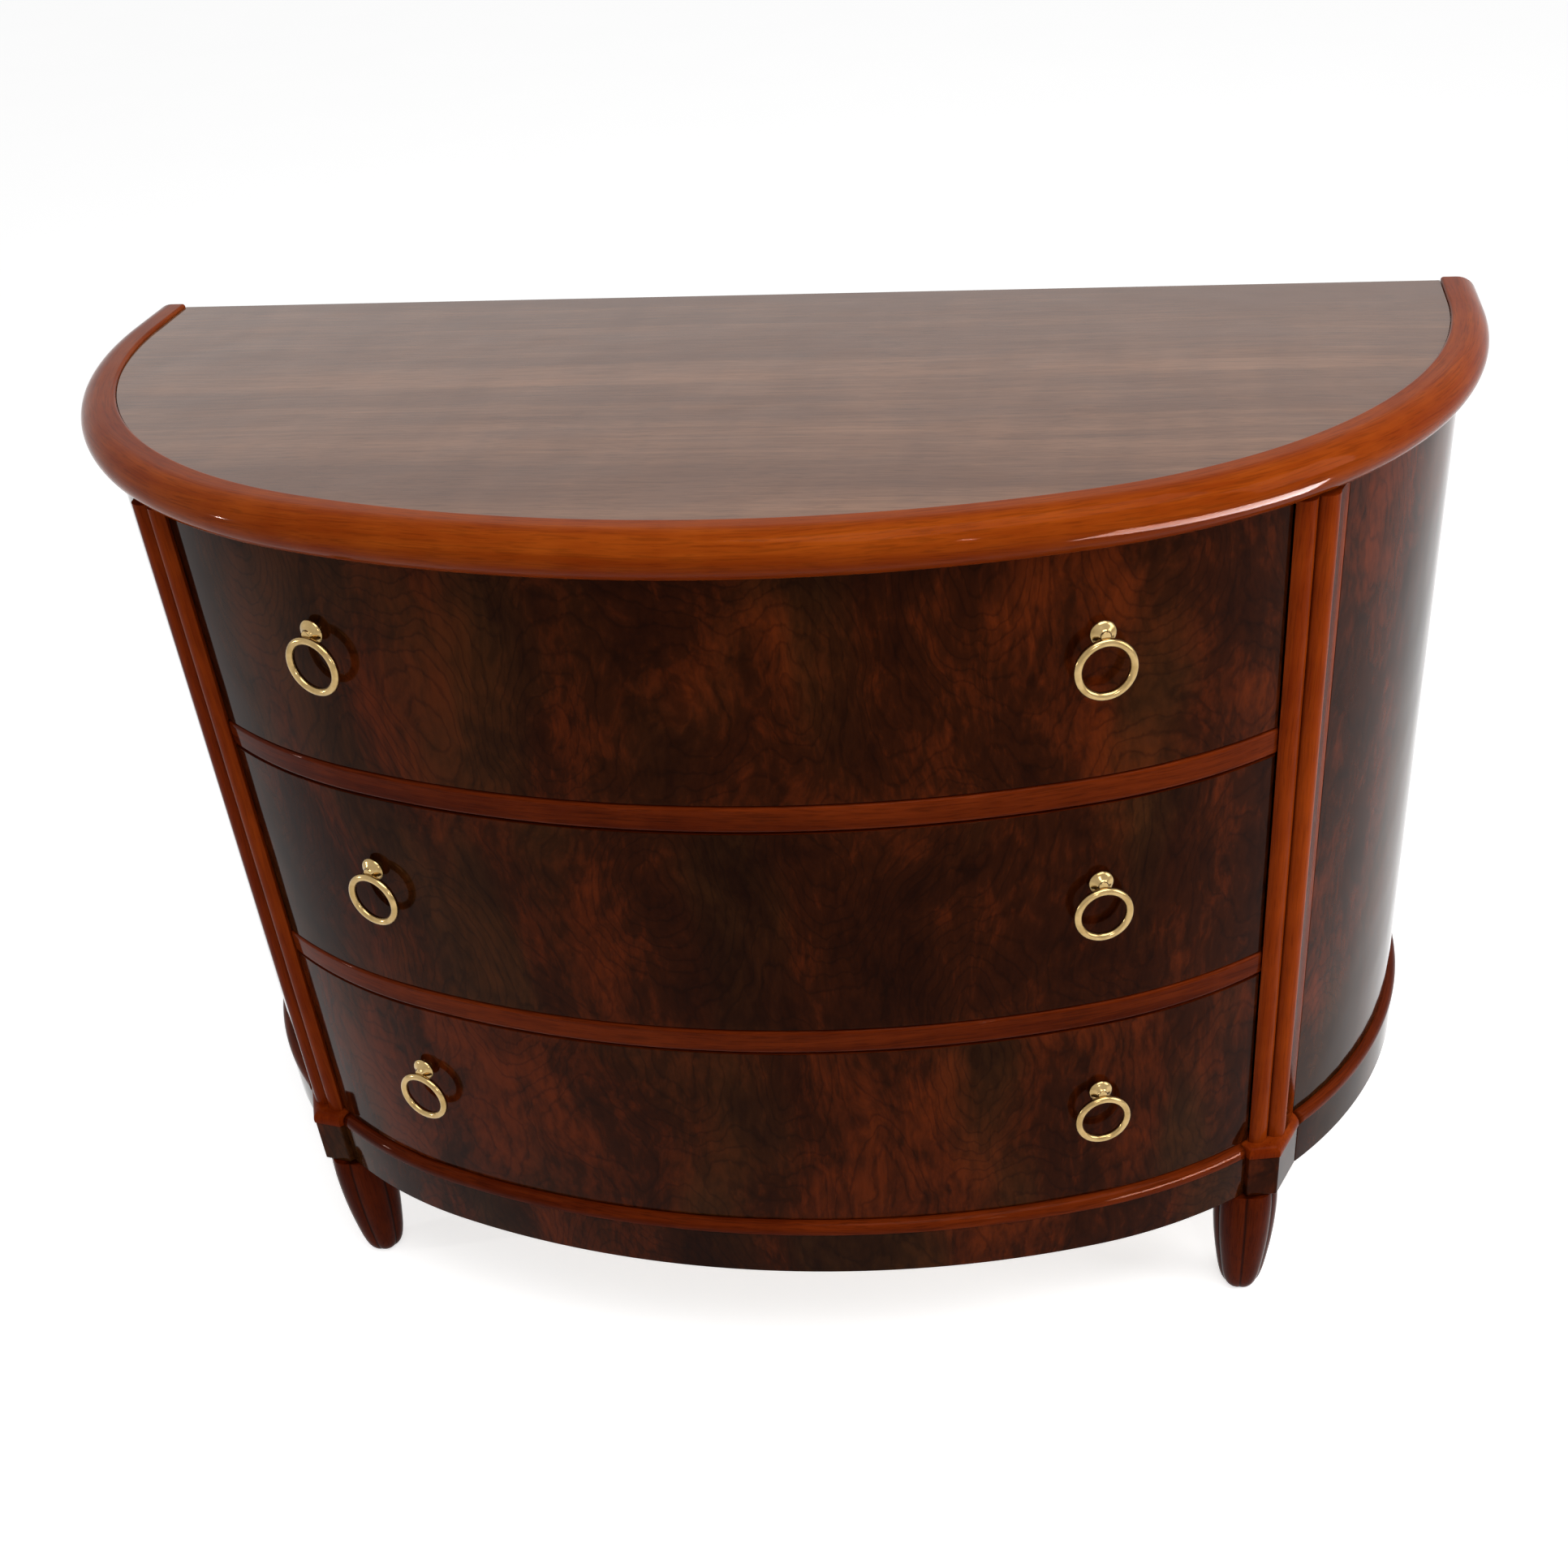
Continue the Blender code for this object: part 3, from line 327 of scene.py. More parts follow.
def run_back(bm, section):
    """Extrude an end section straight to the back of the chest."""
    extruded = bmesh.ops.extrude_edge_only(bm, edges=edges_in(section))
    for vert in verts_in(extruded["geom"]):
        vert.co.y = CAD_HIGH.y


def close_ends(bm):
    """Cap every open end of a carried section."""
    open_edges = [edge for edge in bm.edges if edge.is_boundary]
    bmesh.ops.holes_fill(bm, edges=open_edges, sides=0)
    bmesh.ops.recalc_face_normals(bm, faces=bm.faces[:])


def line_through(bm, points):
    """Vertices at points, joined in a row."""
    verts = [bm.verts.new(point) for point in points]
    for near, far in zip(verts, verts[1:]):
        bm.edges.new((near, far))
    return verts


def section_line(bm, plan, points):
    """A line through (reach, height) points in the section plane at the right end of the curve."""
    return line_through(bm, [(plan.half_width + reach, plan.side_y, height) for reach, height in points])


def close_section(bm, first, last):
    bm.edges.new((first, last))
    return bm.verts[:] + bm.edges[:]


def boxed_section(bm, plan, inner, outer, low, high):
    verts = section_line(bm, plan, [(inner, low), (inner, high), (outer, high), (outer, low)])
    return close_section(bm, verts[0], verts[-1])


def trim(bm, point, outward):
    """Cut off what lies beyond a plane and close the cut."""
    geometry = bm.verts[:] + bm.edges[:] + bm.faces[:]
    bmesh.ops.bisect_plane(bm, geom=geometry, plane_co=point, plane_no=outward, clear_outer=True, dist=TINY)
    close_ends(bm)


def round_section(bm, plan, last, reach, height, turn):
    """Carry on a section line from its last vertex round a centre, and give the vertex that it ends on."""
    centre = (plan.half_width + reach, plan.side_y, height)
    spun = bmesh.ops.spin(bm, geom=[last], cent=centre, axis=(0.0, 1.0, 0.0), angle=turn,
                          steps=round(turn / FACET_ANGLE), use_duplicate=False)
    return verts_in(spun["geom_last"])[0]


def bowed_bar(bm, plan, inner, outer, low, high):
    """A bar that follows the front of the plan curve between the ends of a box."""
    section = boxed_section(bm, plan, inner, outer, low.z, high.z)
    beyond = plan.join / 2
    set_at(bm, plan, beyond)
    carry(bm, plan, section, beyond, math.pi - beyond)
    trim(bm, (high.x, 0.0, 0.0), (1.0, 0.0, 0.0))
    trim(bm, (low.x, 0.0, 0.0), (-1.0, 0.0, 0.0))


def ease(bm, edges, offset, segments=2):
    """Round a set of edges."""
    if edges:
        bmesh.ops.bevel(bm, geom=edges, offset=offset, offset_type="OFFSET", affect="EDGES",
                        segments=segments, profile=0.5, material=-1, clamp_overlap=True)


def corner_edges(bm):
    """The outer corners: edges whose faces turn away from each other by more than an angle."""
    return [edge for edge in bm.edges if len(edge.link_faces) == 2 and edge.is_convex
            and edge.calc_face_angle(0.0) > CORNER_ANGLE]


def corners_where(bm, test):
    """The outer corners whose two ends both pass a test of their place."""
    return [edge for edge in corner_edges(bm) if all(test(vert.co) for vert in edge.verts)]


def add_object(name, data):
    made = bpy.data.objects.new(name, data)
    bpy.context.scene.collection.objects.link(made)
    return made


# Grain coordinates
def grain_along_curve(plan, point):
    return plan.unrolled(point)


def grain_upright(plan, point):
    along, reach, height = plan.unrolled(point)
    return Vector((height, reach, along))


def grain_across(plan, point):
    return Vector(point)


def grain_deep(plan, point):
    return Vector((point.y, point.x, point.z))


def grain_straight_up(plan, point):
    return Vector((point.z, point.y, point.x))


def grain_offset(name):
    """A fixed shift of the pattern, so that no two boards look as if cut from the same place."""
    number = sum((index + 3) * ord(letter) for index, letter in enumerate(name))
    return Vector((number % 89 * 0.173, number % 71 * 0.231, number % 83 * 0.197))


def sharpen_grooves_for_painted_shade(bm):
    """Give hollow corners a crisp edge, and return the vertices of the upright ones, where painted shade
    darkens the wood.
    """
    least_rise = 0.4
    found = set()
    bm.verts.index_update()
    for edge in bm.edges:
        if len(edge.link_faces) != 2 or edge.is_convex or edge.calc_face_angle(0.0) <= GROOVE_ANGLE:
            continue
        edge.smooth = False
        first, second = edge.verts
        if abs(first.co.z - second.co.z) > least_rise * edge.calc_length():
            found.update((first.index, second.index))
    return found


def finish_piece(bm, node, finishes, grain=None):
    """Make an object from a bmesh in place of a CAD node, with its finishes, grain and body."""
    name = node + "_finished"
    mesh = bpy.data.meshes.new(name)
    grooves = sharpen_grooves_for_painted_shade(bm)
    bm.to_mesh(mesh)
    bm.free()
    mesh.shade_smooth()
    for finish in finishes:
        mesh.materials.append(bpy.data.materials[finish])
    # painted shade: each upright groove vertex gets a groove value of 1, which darkens the wood there
    if grooves:
        shade = mesh.attributes.new("groove", "FLOAT", "POINT")
        for index in grooves:
            shade.data[index].value = 1.0
    if grain is not None:
        plan = Plan()
        shift = grain_offset(node)
        field = mesh.attributes.new("grain", "FLOAT_VECTOR", "POINT")
        for vert, value in zip(mesh.vertices, field.data):
            value.vector = grain(plan, vert.co) + shift
    piece = add_object(name, mesh)
    piece.modifiers.new("even_shading", "WEIGHTED_NORMAL").keep_sharp = True
    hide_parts(node)
    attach(piece, frame["nodes"][node]["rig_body"])


def board(node, finish, grain, offset, segments=2):
    """A merged copy of a CAD solid with eased corners."""
    bm = bmesh.new()
    bm.from_mesh(frame["nodes"][node].data)
    bmesh.ops.remove_doubles(bm, verts=bm.verts[:], dist=WELD)
    bmesh.ops.dissolve_limit(bm, angle_limit=FLAT_ANGLE, verts=bm.verts[:], edges=bm.edges[:],
                             use_dissolve_boundaries=False)
    ease(bm, corner_edges(bm), offset, segments)
    finish_piece(bm, node, [finish], grain)


# Finishes
class Nodes:
    """A node tree, where nodes are added and joined by short calls."""

    def __init__(self, tree):
        self.tree = tree
        tree.nodes.clear()

    def add(self, kind, settings=None, **sockets):
        """Add a node. A socket is given by its name, with _ for a space, or by n and its number."""
        node = self.tree.nodes.new("ShaderNode" + kind)
        for key, value in (settings or {}).items():
            setattr(node, key, value)
        for key, value in sockets.items():
            self.set(node, key, value)
        return node

    def put(self, socket, value):
        """Join an output to a socket, or give the socket a value of its own."""
        if isinstance(value, bpy.types.NodeSocket):
            self.tree.links.new(value, socket)
        else:
            socket.default_value = value

    def set(self, node, key, value):
        by_number = key[0] == "n" and key[1:].isdigit()
        self.put(node.inputs[int(key[1:]) if by_number else key.replace("_", " ")], value)

    def stretched(self, vector, scale):
        return self.add("Mapping", Vector=vector, Scale=scale).outputs["Vector"]

    def noise_node(self, vector, scale, detail, roughness):
        return self.add("TexNoise", Vector=vector, Scale=scale, Detail=detail, Roughness=roughness)

    def noise(self, vector, scale, detail, roughness):
        return self.noise_node(vector, scale, detail, roughness).outputs["Fac"]

    def drawn_noise(self, vector, scales, detail, roughness):
        """Noise with a scale of its own along each axis."""
        return self.noise(self.stretched(vector, scales), 1.0, detail, roughness)

    def warped(self, vector, scale, amount, detail=2.0):
        """The vector pushed about by a soft noise."""
        push = self.noise_node(vector, scale, detail, 0.5).outputs["Color"]
        centred = self.add("VectorMath", {"operation": "SUBTRACT"}, n0=push, n1=(0.5, 0.5, 0.5)).outputs[0]
        scaled = self.add("VectorMath", {"operation": "SCALE"}, n0=centred, Scale=amount).outputs[0]
        return self.add("VectorMath", {"operation": "ADD"}, n0=vector, n1=scaled).outputs[0]

    def math(self, operation, first, second=0.5, third=0.5):
        return self.add("Math", {"operation": operation}, n0=first, n1=second, n2=third).outputs[0]

    def weighted(self, *parts):
        """The sum of values, each times its weight."""
        total = self.math("MULTIPLY", *parts[0])
        for value, weight in parts[1:]:
            total = self.math("MULTIPLY_ADD", value, weight, total)
        return total

    def spread(self, value, low, high, to_low=0.0, to_high=1.0):
        """A value stretched from one range to another, clamped."""
        return self.add("MapRange", {"interpolation_type": "SMOOTHSTEP"}, Value=value, From_Min=low,
                        From_Max=high, To_Min=to_low, To_Max=to_high).outputs["Result"]

    def ramp(self, value, stops):
        node = self.add("ValToRGB", Fac=value)
        ramp = node.color_ramp
        while len(ramp.elements) < len(stops):
            ramp.elements.new(0.5)
        for element, (place, colour) in zip(ramp.elements, stops):
            element.position = place
            element.color = (*colour, 1.0)
        return node.outputs["Color"]

    def mix(self, kind, share, first, second):
        node = self.add("Mix", {"data_type": "RGBA", "blend_type": kind}, n0=share, n6=first, n7=second)
        return node.outputs[2]

    def darkened(self, colour, value):
        """A colour times a grey value."""
        grey = self.add("CombineColor", n0=value, n1=value, n2=value).outputs[0]
        return self.mix("MULTIPLY", 1.0, colour, grey)

    def bump(self, height, strength, distance):
        return self.add("Bump", Height=height, Strength=strength, Distance=distance).outputs["Normal"]


class Finish(Nodes):
    """A material that ends in one shader."""

    def __init__(self, name):
        self.material = bpy.data.materials.get(name) or bpy.data.materials.new(name)
        self.material.use_nodes = True
        super().__init__(self.material.node_tree)
        self.shader = self.add("BsdfPrincipled")
        self.add("OutputMaterial", Surface=self.shader.outputs["BSDF"])

    def shade(self, **sockets):
        """Set sockets of the shader."""
        for key, value in sockets.items():
            self.set(self.shader, key, value)

    def field(self):
        return self.add("Attribute", {"attribute_name": "grain"}).outputs["Vector"]

    def place(self):
        return self.add("TexCoord").outputs["Object"]

    def lacquer(self, gloss, rubbed):
        """Polished lacquer that mirrors warmly square on and brightly at a slant, under thin wax."""
        low = surface().lacquer_roughness
        worn = low + 0.05
        waves = self.noise(self.place(), 16.0, 1.0, 0.4)
        self.shade(Specular_IOR_Level=gloss, Specular_Tint=(*surface().lacquer_tint, 1.0),
                   Roughness=self.spread(rubbed, 0.3, 0.7, low, worn), Coat_Weight=surface().coat_share,
                   Coat_Roughness=low, Normal=self.bump(waves, 0.06, 0.01))


def share_of(dark, light, share):
    """A colour between two others."""
    return tuple(a + (b - a) * share for a, b in zip(dark, light))


def straight_wood(name, dark, light, gloss, streaks, pores):
    """Straight-grained wood: long soft bands, fine streaks and short pores, along the first grain axis."""
    finish = Finish(name)
    field = finish.warped(finish.field(), 2.3, 0.030)
    bands = finish.drawn_noise(field, (0.9, 22.0, 22.0), 3.0, 0.5)
    streak = finish.drawn_noise(field, (7.0, 190.0, 190.0), 5.0, 0.62)
    pore = finish.drawn_noise(field, (38.0, 900.0, 900.0), 2.0, 0.5)
    ribbon = finish.drawn_noise(field, (26.0, 5.0, 5.0), 2.0, 0.5)
    tone = finish.weighted((bands, 0.62), (streak, 0.50 * streaks), (ribbon, 0.16))
    stops = ((0.0, 0.0), (0.35, 0.38), (0.65, 0.68), (1.0, 1.0))
    colour = finish.ramp(finish.spread(tone, 0.42, 0.84),
                         [(place, share_of(dark, light, share)) for place, share in stops])
    # painted shade: the wood is darkened to a quarter of its colour in the upright grooves, on top of the
    # real dark pores
    groove = finish.add("Attribute", {"attribute_name": "groove"}).outputs["Fac"]
    darker = finish.math("MULTIPLY", finish.spread(pore, 0.36, 0.50, 1.0 - pores, 1.0),
                         finish.spread(groove, 0.0, 1.0, 1.0, 0.25))
    finish.shade(Base_Color=finish.darkened(colour, darker))
    if gloss > 0:
        finish.lacquer(gloss, bands)
    else:
        finish.shade(Roughness=finish.spread(streak, 0.3, 0.7, 0.42, 0.60), Specular_IOR_Level=0.35,
                     Normal=finish.bump(pore, 0.25, 0.001))


def burl_wood(name, gloss, lift=1.0):
    """Burl: lines that run round knots, over clouds of dark chocolate and red-brown, with a fine speckle."""
    finish = Finish(name)
    colour = colours()
    scale = surface().burl_scale
    # painted light: lift makes a lighter copy of the burl colours, used on the side panels
    dark, middle, light, olive = (tuple(lift * part for part in tone) for tone in (
        colour.burl_dark, colour.burl_mid, colour.burl_light, colour.burl_olive))
    field = finish.stretched(finish.field(), (scale, scale, 0.55 * scale))
    field = finish.warped(field, 2.6, 0.12)
    field = finish.warped(field, 9.5, 0.050, 3.0)
    swirl = finish.warped(field, 27.0, 0.015, 3.0)
    clouds = finish.noise(field, 7.0, 4.0, 0.55)
    patches = finish.noise(swirl, 21.0, 5.0, 0.66)
    knots = finish.add("TexVoronoi", {"feature": "SMOOTH_F1"}, Vector=swirl, Scale=8.5,
                       Smoothness=0.45).outputs["Distance"]
    turns = finish.weighted((knots, 60.0), (patches, 6.5))
    lines = finish.math("ABSOLUTE", finish.math("SINE", turns))
    speckle = finish.drawn_noise(swirl, (150.0, 150.0, 80.0), 4.0, 0.62)
    flow = finish.drawn_noise(field, (9.0, 9.0, 2.2), 3.0, 0.55)
    tone = finish.weighted((clouds, 0.34), (flow, 0.26), (patches, 0.32), (speckle, 0.22))
    tone = finish.spread(tone, 0.39, 0.71)
    shade = finish.ramp(tone, [
        (0.0, dark), (0.30, share_of(dark, middle, 0.55)), (0.55, middle),
        (0.78, share_of(middle, light, 0.40)), (1.0, light)])
    green = finish.ramp(tone, [(0.0, dark), (1.0, olive)])
    greener = finish.spread(finish.noise(finish.stretched(field, (1.0, 1.0, 0.5)), 6.0, 2.0, 0.5),
                            0.47, 0.60, 0.0, 0.75)
    shade = finish.mix("MIX", greener, shade, green)
    veins = finish.spread(lines, 0.0, 0.50, 0.66, 1.04)
    core = finish.math("MULTIPLY", finish.spread(knots, 0.02, 0.13, 0.45, 1.0), veins)
    finish.shade(Base_Color=finish.darkened(shade, core))
    finish.lacquer(gloss, clouds)


def polished_brass(name):
    """Brass with soft tarnish, hand polish and fine scratches."""
    finish = Finish(name)
    place = finish.place()
    tarnish = finish.noise(place, 130.0, 4.0, 0.6)
    patches = finish.noise(place, 38.0, 2.0, 0.5)
    rubbed = finish.drawn_noise(place, (900.0, 900.0, 2600.0), 2.0, 0.5)
    tone = finish.weighted((tarnish, 0.45), (patches, 0.55))
    shade = finish.ramp(finish.spread(tone, 0.32, 0.62),
                        [(0.0, colours().brass_dull), (1.0, colours().brass_bright)])
    low = surface().brass_roughness
    dull = low + 0.07
    finish.shade(Base_Color=shade, Metallic=1.0, Roughness=finish.spread(tone, 0.3, 0.7, dull, low),
                 Normal=finish.bump(rubbed, 0.02, 0.0002))


# Operators
class CHEST_OT_finishes(bpy.types.Operator):
    """Makes the woods, the lacquer and the brass"""

    bl_idname = "chest.finishes"
    bl_label = "Finishes"

    def execute(self, context):
        colour = colours()
        gloss = surface().lacquer_gloss
        foot_light = share_of(colour.trim_dark, colour.trim_light, 0.50)
        burl_wood("burl_finish", gloss)
        # painted light: a lighter copy of the burl for the side panels
        burl_wood("side_finish", surface().side_gloss, surface().side_lift)
        straight_wood("foot_finish", colour.trim_dark, foot_light, 0.4 * gloss, 0.8, 0.3)
        for wood, mirrored, streaks, pores in (
                ("top", surface().top_gloss, 0.6, 0.25), ("nosing", 0.7 * gloss, 0.6, 0.22),
                ("trim", 0.7 * gloss, 0.8, 0.3), ("reed", 0.4 * gloss, 0.6, 0.2), ("board", 0.0, 1.0, 0.5)):
            dark, light = getattr(colour, wood + "_dark"), getattr(colour, wood + "_light")
            straight_wood(wood + "_finish", dark, light, mirrored, streaks, pores)
        polished_brass("brass_finish")
        return {"FINISHED"}


class CHEST_OT_top(bpy.types.Operator):
    """Makes the top panel and the round nosing that is bent about it"""

    bl_idname = "chest.top"
    bl_label = "Top and nosing"

    def execute(self, context):
        plan = Plan()
        self.make_panel(plan)
        self.make_nosing(plan)
        return {"FINISHED"}

    def make_panel(self, plan):
        low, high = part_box("top_panel")
        bm = bmesh.new()
        back, start = line_through(bm, [(high.x, high.y, low.z), (high.x, plan.side_y, low.z)])
        end = verts_in(carry(bm, plan, [start], 0.0, math.pi))[0]
        far = bm.verts.new((-high.x, high.y, low.z))
        bm.edges.new((end, far))
        bm.edges.new((far, back))
        bmesh.ops.contextual_create(bm, geom=bm.edges[:])
        raised = bmesh.ops.extrude_face_region(bm, geom=bm.faces[:])
        bmesh.ops.translate(bm, verts=verts_in(raised["geom"]), vec=(0.0, 0.0, high.z - low.z))
        bmesh.ops.recalc_face_normals(bm, faces=bm.faces[:])
        ease(bm, corner_edges(bm), EASE_TOP)
        finish_piece(bm, "top_panel", ["top_finish"], grain_across)

    def make_nosing(self, plan):
        size = sizes()
        low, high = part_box("top_nosing")
        radius = (high.z - low.z) / 2
        bm = bmesh.new()
        verts = section_line(bm, plan, [(0.0, low.z), (0.0, high.z), (size.nosing_setout, high.z)])
        end = round_section(bm, plan, verts[-1], size.nosing_setout, low.z + radius, math.pi)
        section = close_section(bm, end, verts[0])
        run_back(bm, section)
        run_back(bm, carry(bm, plan, section, 0.0, math.pi))
        close_ends(bm)
        inner = [edge for edge in corners_where(bm, lambda place: place.z > high.z - NEAR)
                 if all(vert.co.y < high.y - NEAR for vert in edge.verts)
                 or abs(edge.verts[0].co.x - edge.verts[1].co.x) < TINY]
        ease(bm, inner, size.nosing_ease, ROUND_EDGE)
        ease(bm, corners_where(bm, lambda place: place.y > high.y - NEAR), size.wood_ease)
        finish_piece(bm, "top_nosing", ["nosing_finish"], grain_along_curve)


class CHEST_OT_drawer_fronts(bpy.types.Operator):
    """Makes the three bowed drawer fronts, veneered outside and solid at their edges and back"""

    bl_idname = "chest.drawer_fronts"
    bl_label = "Drawer fronts"

    def execute(self, context):
        plan = Plan()
        outer = sizes().face_reach
        least = outer - EASE_FRONT - FACE_NEAR
        veneered, solid = 0, 1
        for level in LEVELS:
            node = f"drawer_{level}_front"
            bm = bmesh.new()
            bowed_bar(bm, plan, outer - sizes().front_thickness, outer, *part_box(node))
            ease(bm, corner_edges(bm), EASE_FRONT)
            for face in bm.faces:
                outside = all(plan.unrolled(vert.co).y > least for vert in face.verts)
                face.material_index = veneered if outside else solid
            finish_piece(bm, node, ["burl_finish", "trim_finish"], grain_along_curve)
        return {"FINISHED"}


class CHEST_OT_rails(bpy.types.Operator):
    """Makes the two bowed rails between the drawers"""

    bl_idname = "chest.rails"
    bl_label = "Rails"

    def execute(self, context):
        plan = Plan()
        size = sizes()
        outer = size.face_reach + size.rail_proud
        for node in ("drawer_rail_upper", "drawer_rail_lower"):
            bm = bmesh.new()
            bowed_bar(bm, plan, outer - size.rail_depth, outer, *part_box(node))
            on_face = corners_where(bm, lambda place: plan.unrolled(place).y > outer - FACE_NEAR)
            front = [edge for edge in on_face if abs(edge.verts[0].co.z - edge.verts[1].co.z) < TINY]
            ease(bm, front, size.rail_ease, ROUND_EDGE)
            finish_piece(bm, node, ["trim_finish"], grain_along_curve)
        return {"FINISHED"}


class CHEST_OT_plinth(bpy.types.Operator):
    """Makes the bead and the plinth in three lengths each, and the blocks under the pilasters"""

    bl_idname = "chest.plinth"
    bl_label = "Plinth and bead"

    def execute(self, context):
        plan = Plan()
        for part in ("front", "right", "left"):
            self.make_bead(plan, part)
            self.make_board(plan, part)
        for hand in HANDS:
            board("block_front_" + hand, "burl_finish", grain_along_curve, EASE_FRONT, 3)
        return {"FINISHED"}

    def carry_length(self, bm, plan, node, part, section):
        """Carry a section along the front, right or left length, between the ends of its CAD solid."""
        along = [plan.unrolled(vert.co).x for vert in frame["nodes"][node].data.vertices]
        left_end, right_end = plan.place_at(min(along)), plan.place_at(max(along))
        if part == "front":
            set_at(bm, plan, right_end)
            carry(bm, plan, section, right_end, left_end)
        elif part == "right":
            run_back(bm, section)
            carry(bm, plan, section, 0.0, left_end)
        else:
            set_at(bm, plan, right_end)
            run_back(bm, carry(bm, plan, section, right_end, math.pi))
        close_ends(bm)

    def make_bead(self, plan, part):
        node = "bead_" + part
        size = sizes()
        low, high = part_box(node)
        bm = bmesh.new()
        verts = section_line(bm, plan, [(0.0, low.z), (0.0, high.z), (size.face_reach, high.z)])
        end = round_section(bm, plan, verts[-1], size.face_reach, high.z - size.bead_round, math.pi / 2)
        foot = bm.verts.new((end.co.x, end.co.y, low.z))
        bm.edges.new((end, foot))
        self.carry_length(bm, plan, node, part, close_section(bm, foot, verts[0]))
        ease(bm, corners_where(bm, lambda place: place.z < low.z + NEAR), EASE_MOULDING)
        finish_piece(bm, node, ["trim_finish"], grain_along_curve)

    def make_board(self, plan, part):
        node = "plinth_" + part
        size = sizes()
        low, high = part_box(node)
        outer = size.face_reach + size.plinth_proud
        bm = bmesh.new()
        section = boxed_section(bm, plan, outer - size.plinth_thickness, outer, low.z, high.z)
        self.carry_length(bm, plan, node, part, section)
        ease(bm, corner_edges(bm), EASE_PLINTH)
        finish_piece(bm, node, ["burl_finish"], grain_along_curve)


class CHEST_OT_sides(bpy.types.Operator):
    """Makes the curved side panels and the reeded pilasters"""

    bl_idname = "chest.sides"
    bl_label = "Sides and pilasters"

    def execute(self, context):
        for hand in HANDS:
            board("side_panel_" + hand, "side_finish", grain_along_curve, EASE_MOULDING)
            board("pilaster_" + hand, "reed_finish", grain_upright, EASE_MOULDING)
        return {"FINISHED"}


class CHEST_OT_feet(bpy.types.Operator):
    """Makes the four lobed feet"""

    bl_idname = "chest.feet"
    bl_label = "Feet"

    # Each level and the share of the full radius there, from the tip up
    profile = ((0.0, 0.20), (0.004, 0.30), (0.012, 0.40), (0.026, 0.49), (0.05, 0.565), (0.085, 0.635),
               (0.13, 0.69), (0.19, 0.748), (0.27, 0.803), (0.36, 0.858), (0.46, 0.912), (0.56, 0.952),
               (0.66, 0.980), (0.76, 0.996), (0.84, 0.999), (0.91, 0.989), (0.96, 0.968), (0.99, 0.945),
               (1.0, 0.93))
    facets_of_lobe = 12
    gap_under_block = 0.0003

    def execute(self, context):
        for end in ("front", "rear"):
            for hand in HANDS:
                self.make_foot(f"foot_{end}_{hand}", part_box("block_front_" + hand)[0].z)
        return {"FINISHED"}

    def make_foot(self, node, block_height):
        size = sizes()
        low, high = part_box(node)
        height = block_height - self.gap_under_block
        bm = bmesh.new()
        ring = bmesh.ops.create_circle(bm, cap_ends=True, segments=size.foot_lobes * self.facets_of_lobe,
                                       radius=size.foot_radius)["verts"]
        for vert in ring:
            vert.co *= self.lobe_share(vert.co)
        edges = bm.edges[:]
        level_before, share_before = self.profile[0]
        bmesh.ops.scale(bm, verts=ring, vec=(share_before, share_before, 1.0))
        for level, share in self.profile[1:]:
            grown = bmesh.ops.extrude_edge_only(bm, edges=edges)["geom"]
            verts, edges = verts_in(grown), edges_in(grown)
            ratio = share / share_before
            bmesh.ops.scale(bm, verts=verts, vec=(ratio, ratio, 1.0))
            bmesh.ops.translate(bm, verts=verts, vec=(0.0, 0.0, (level - level_before) * height))
            level_before, share_before = level, share
        close_ends(bm)
        bmesh.ops.translate(bm, verts=bm.verts[:], vec=((low.x + high.x) / 2, (low.y + high.y) / 2, 0.0))
        finish_piece(bm, node, ["foot_finish"], grain_straight_up)

    def lobe_share(self, point):
        """How far out the lobed outline is at a point of the circle, with a groove straight ahead."""
        depth = sizes().lobe_depth
        pitch = 2 * math.pi / sizes().foot_lobes
        turn = math.atan2(point.y, point.x) + math.pi / 2
        inside = turn % pitch - pitch / 2
        return depth * math.cos(inside) + math.sqrt((1.0 - depth) ** 2 - (depth * math.sin(inside)) ** 2)


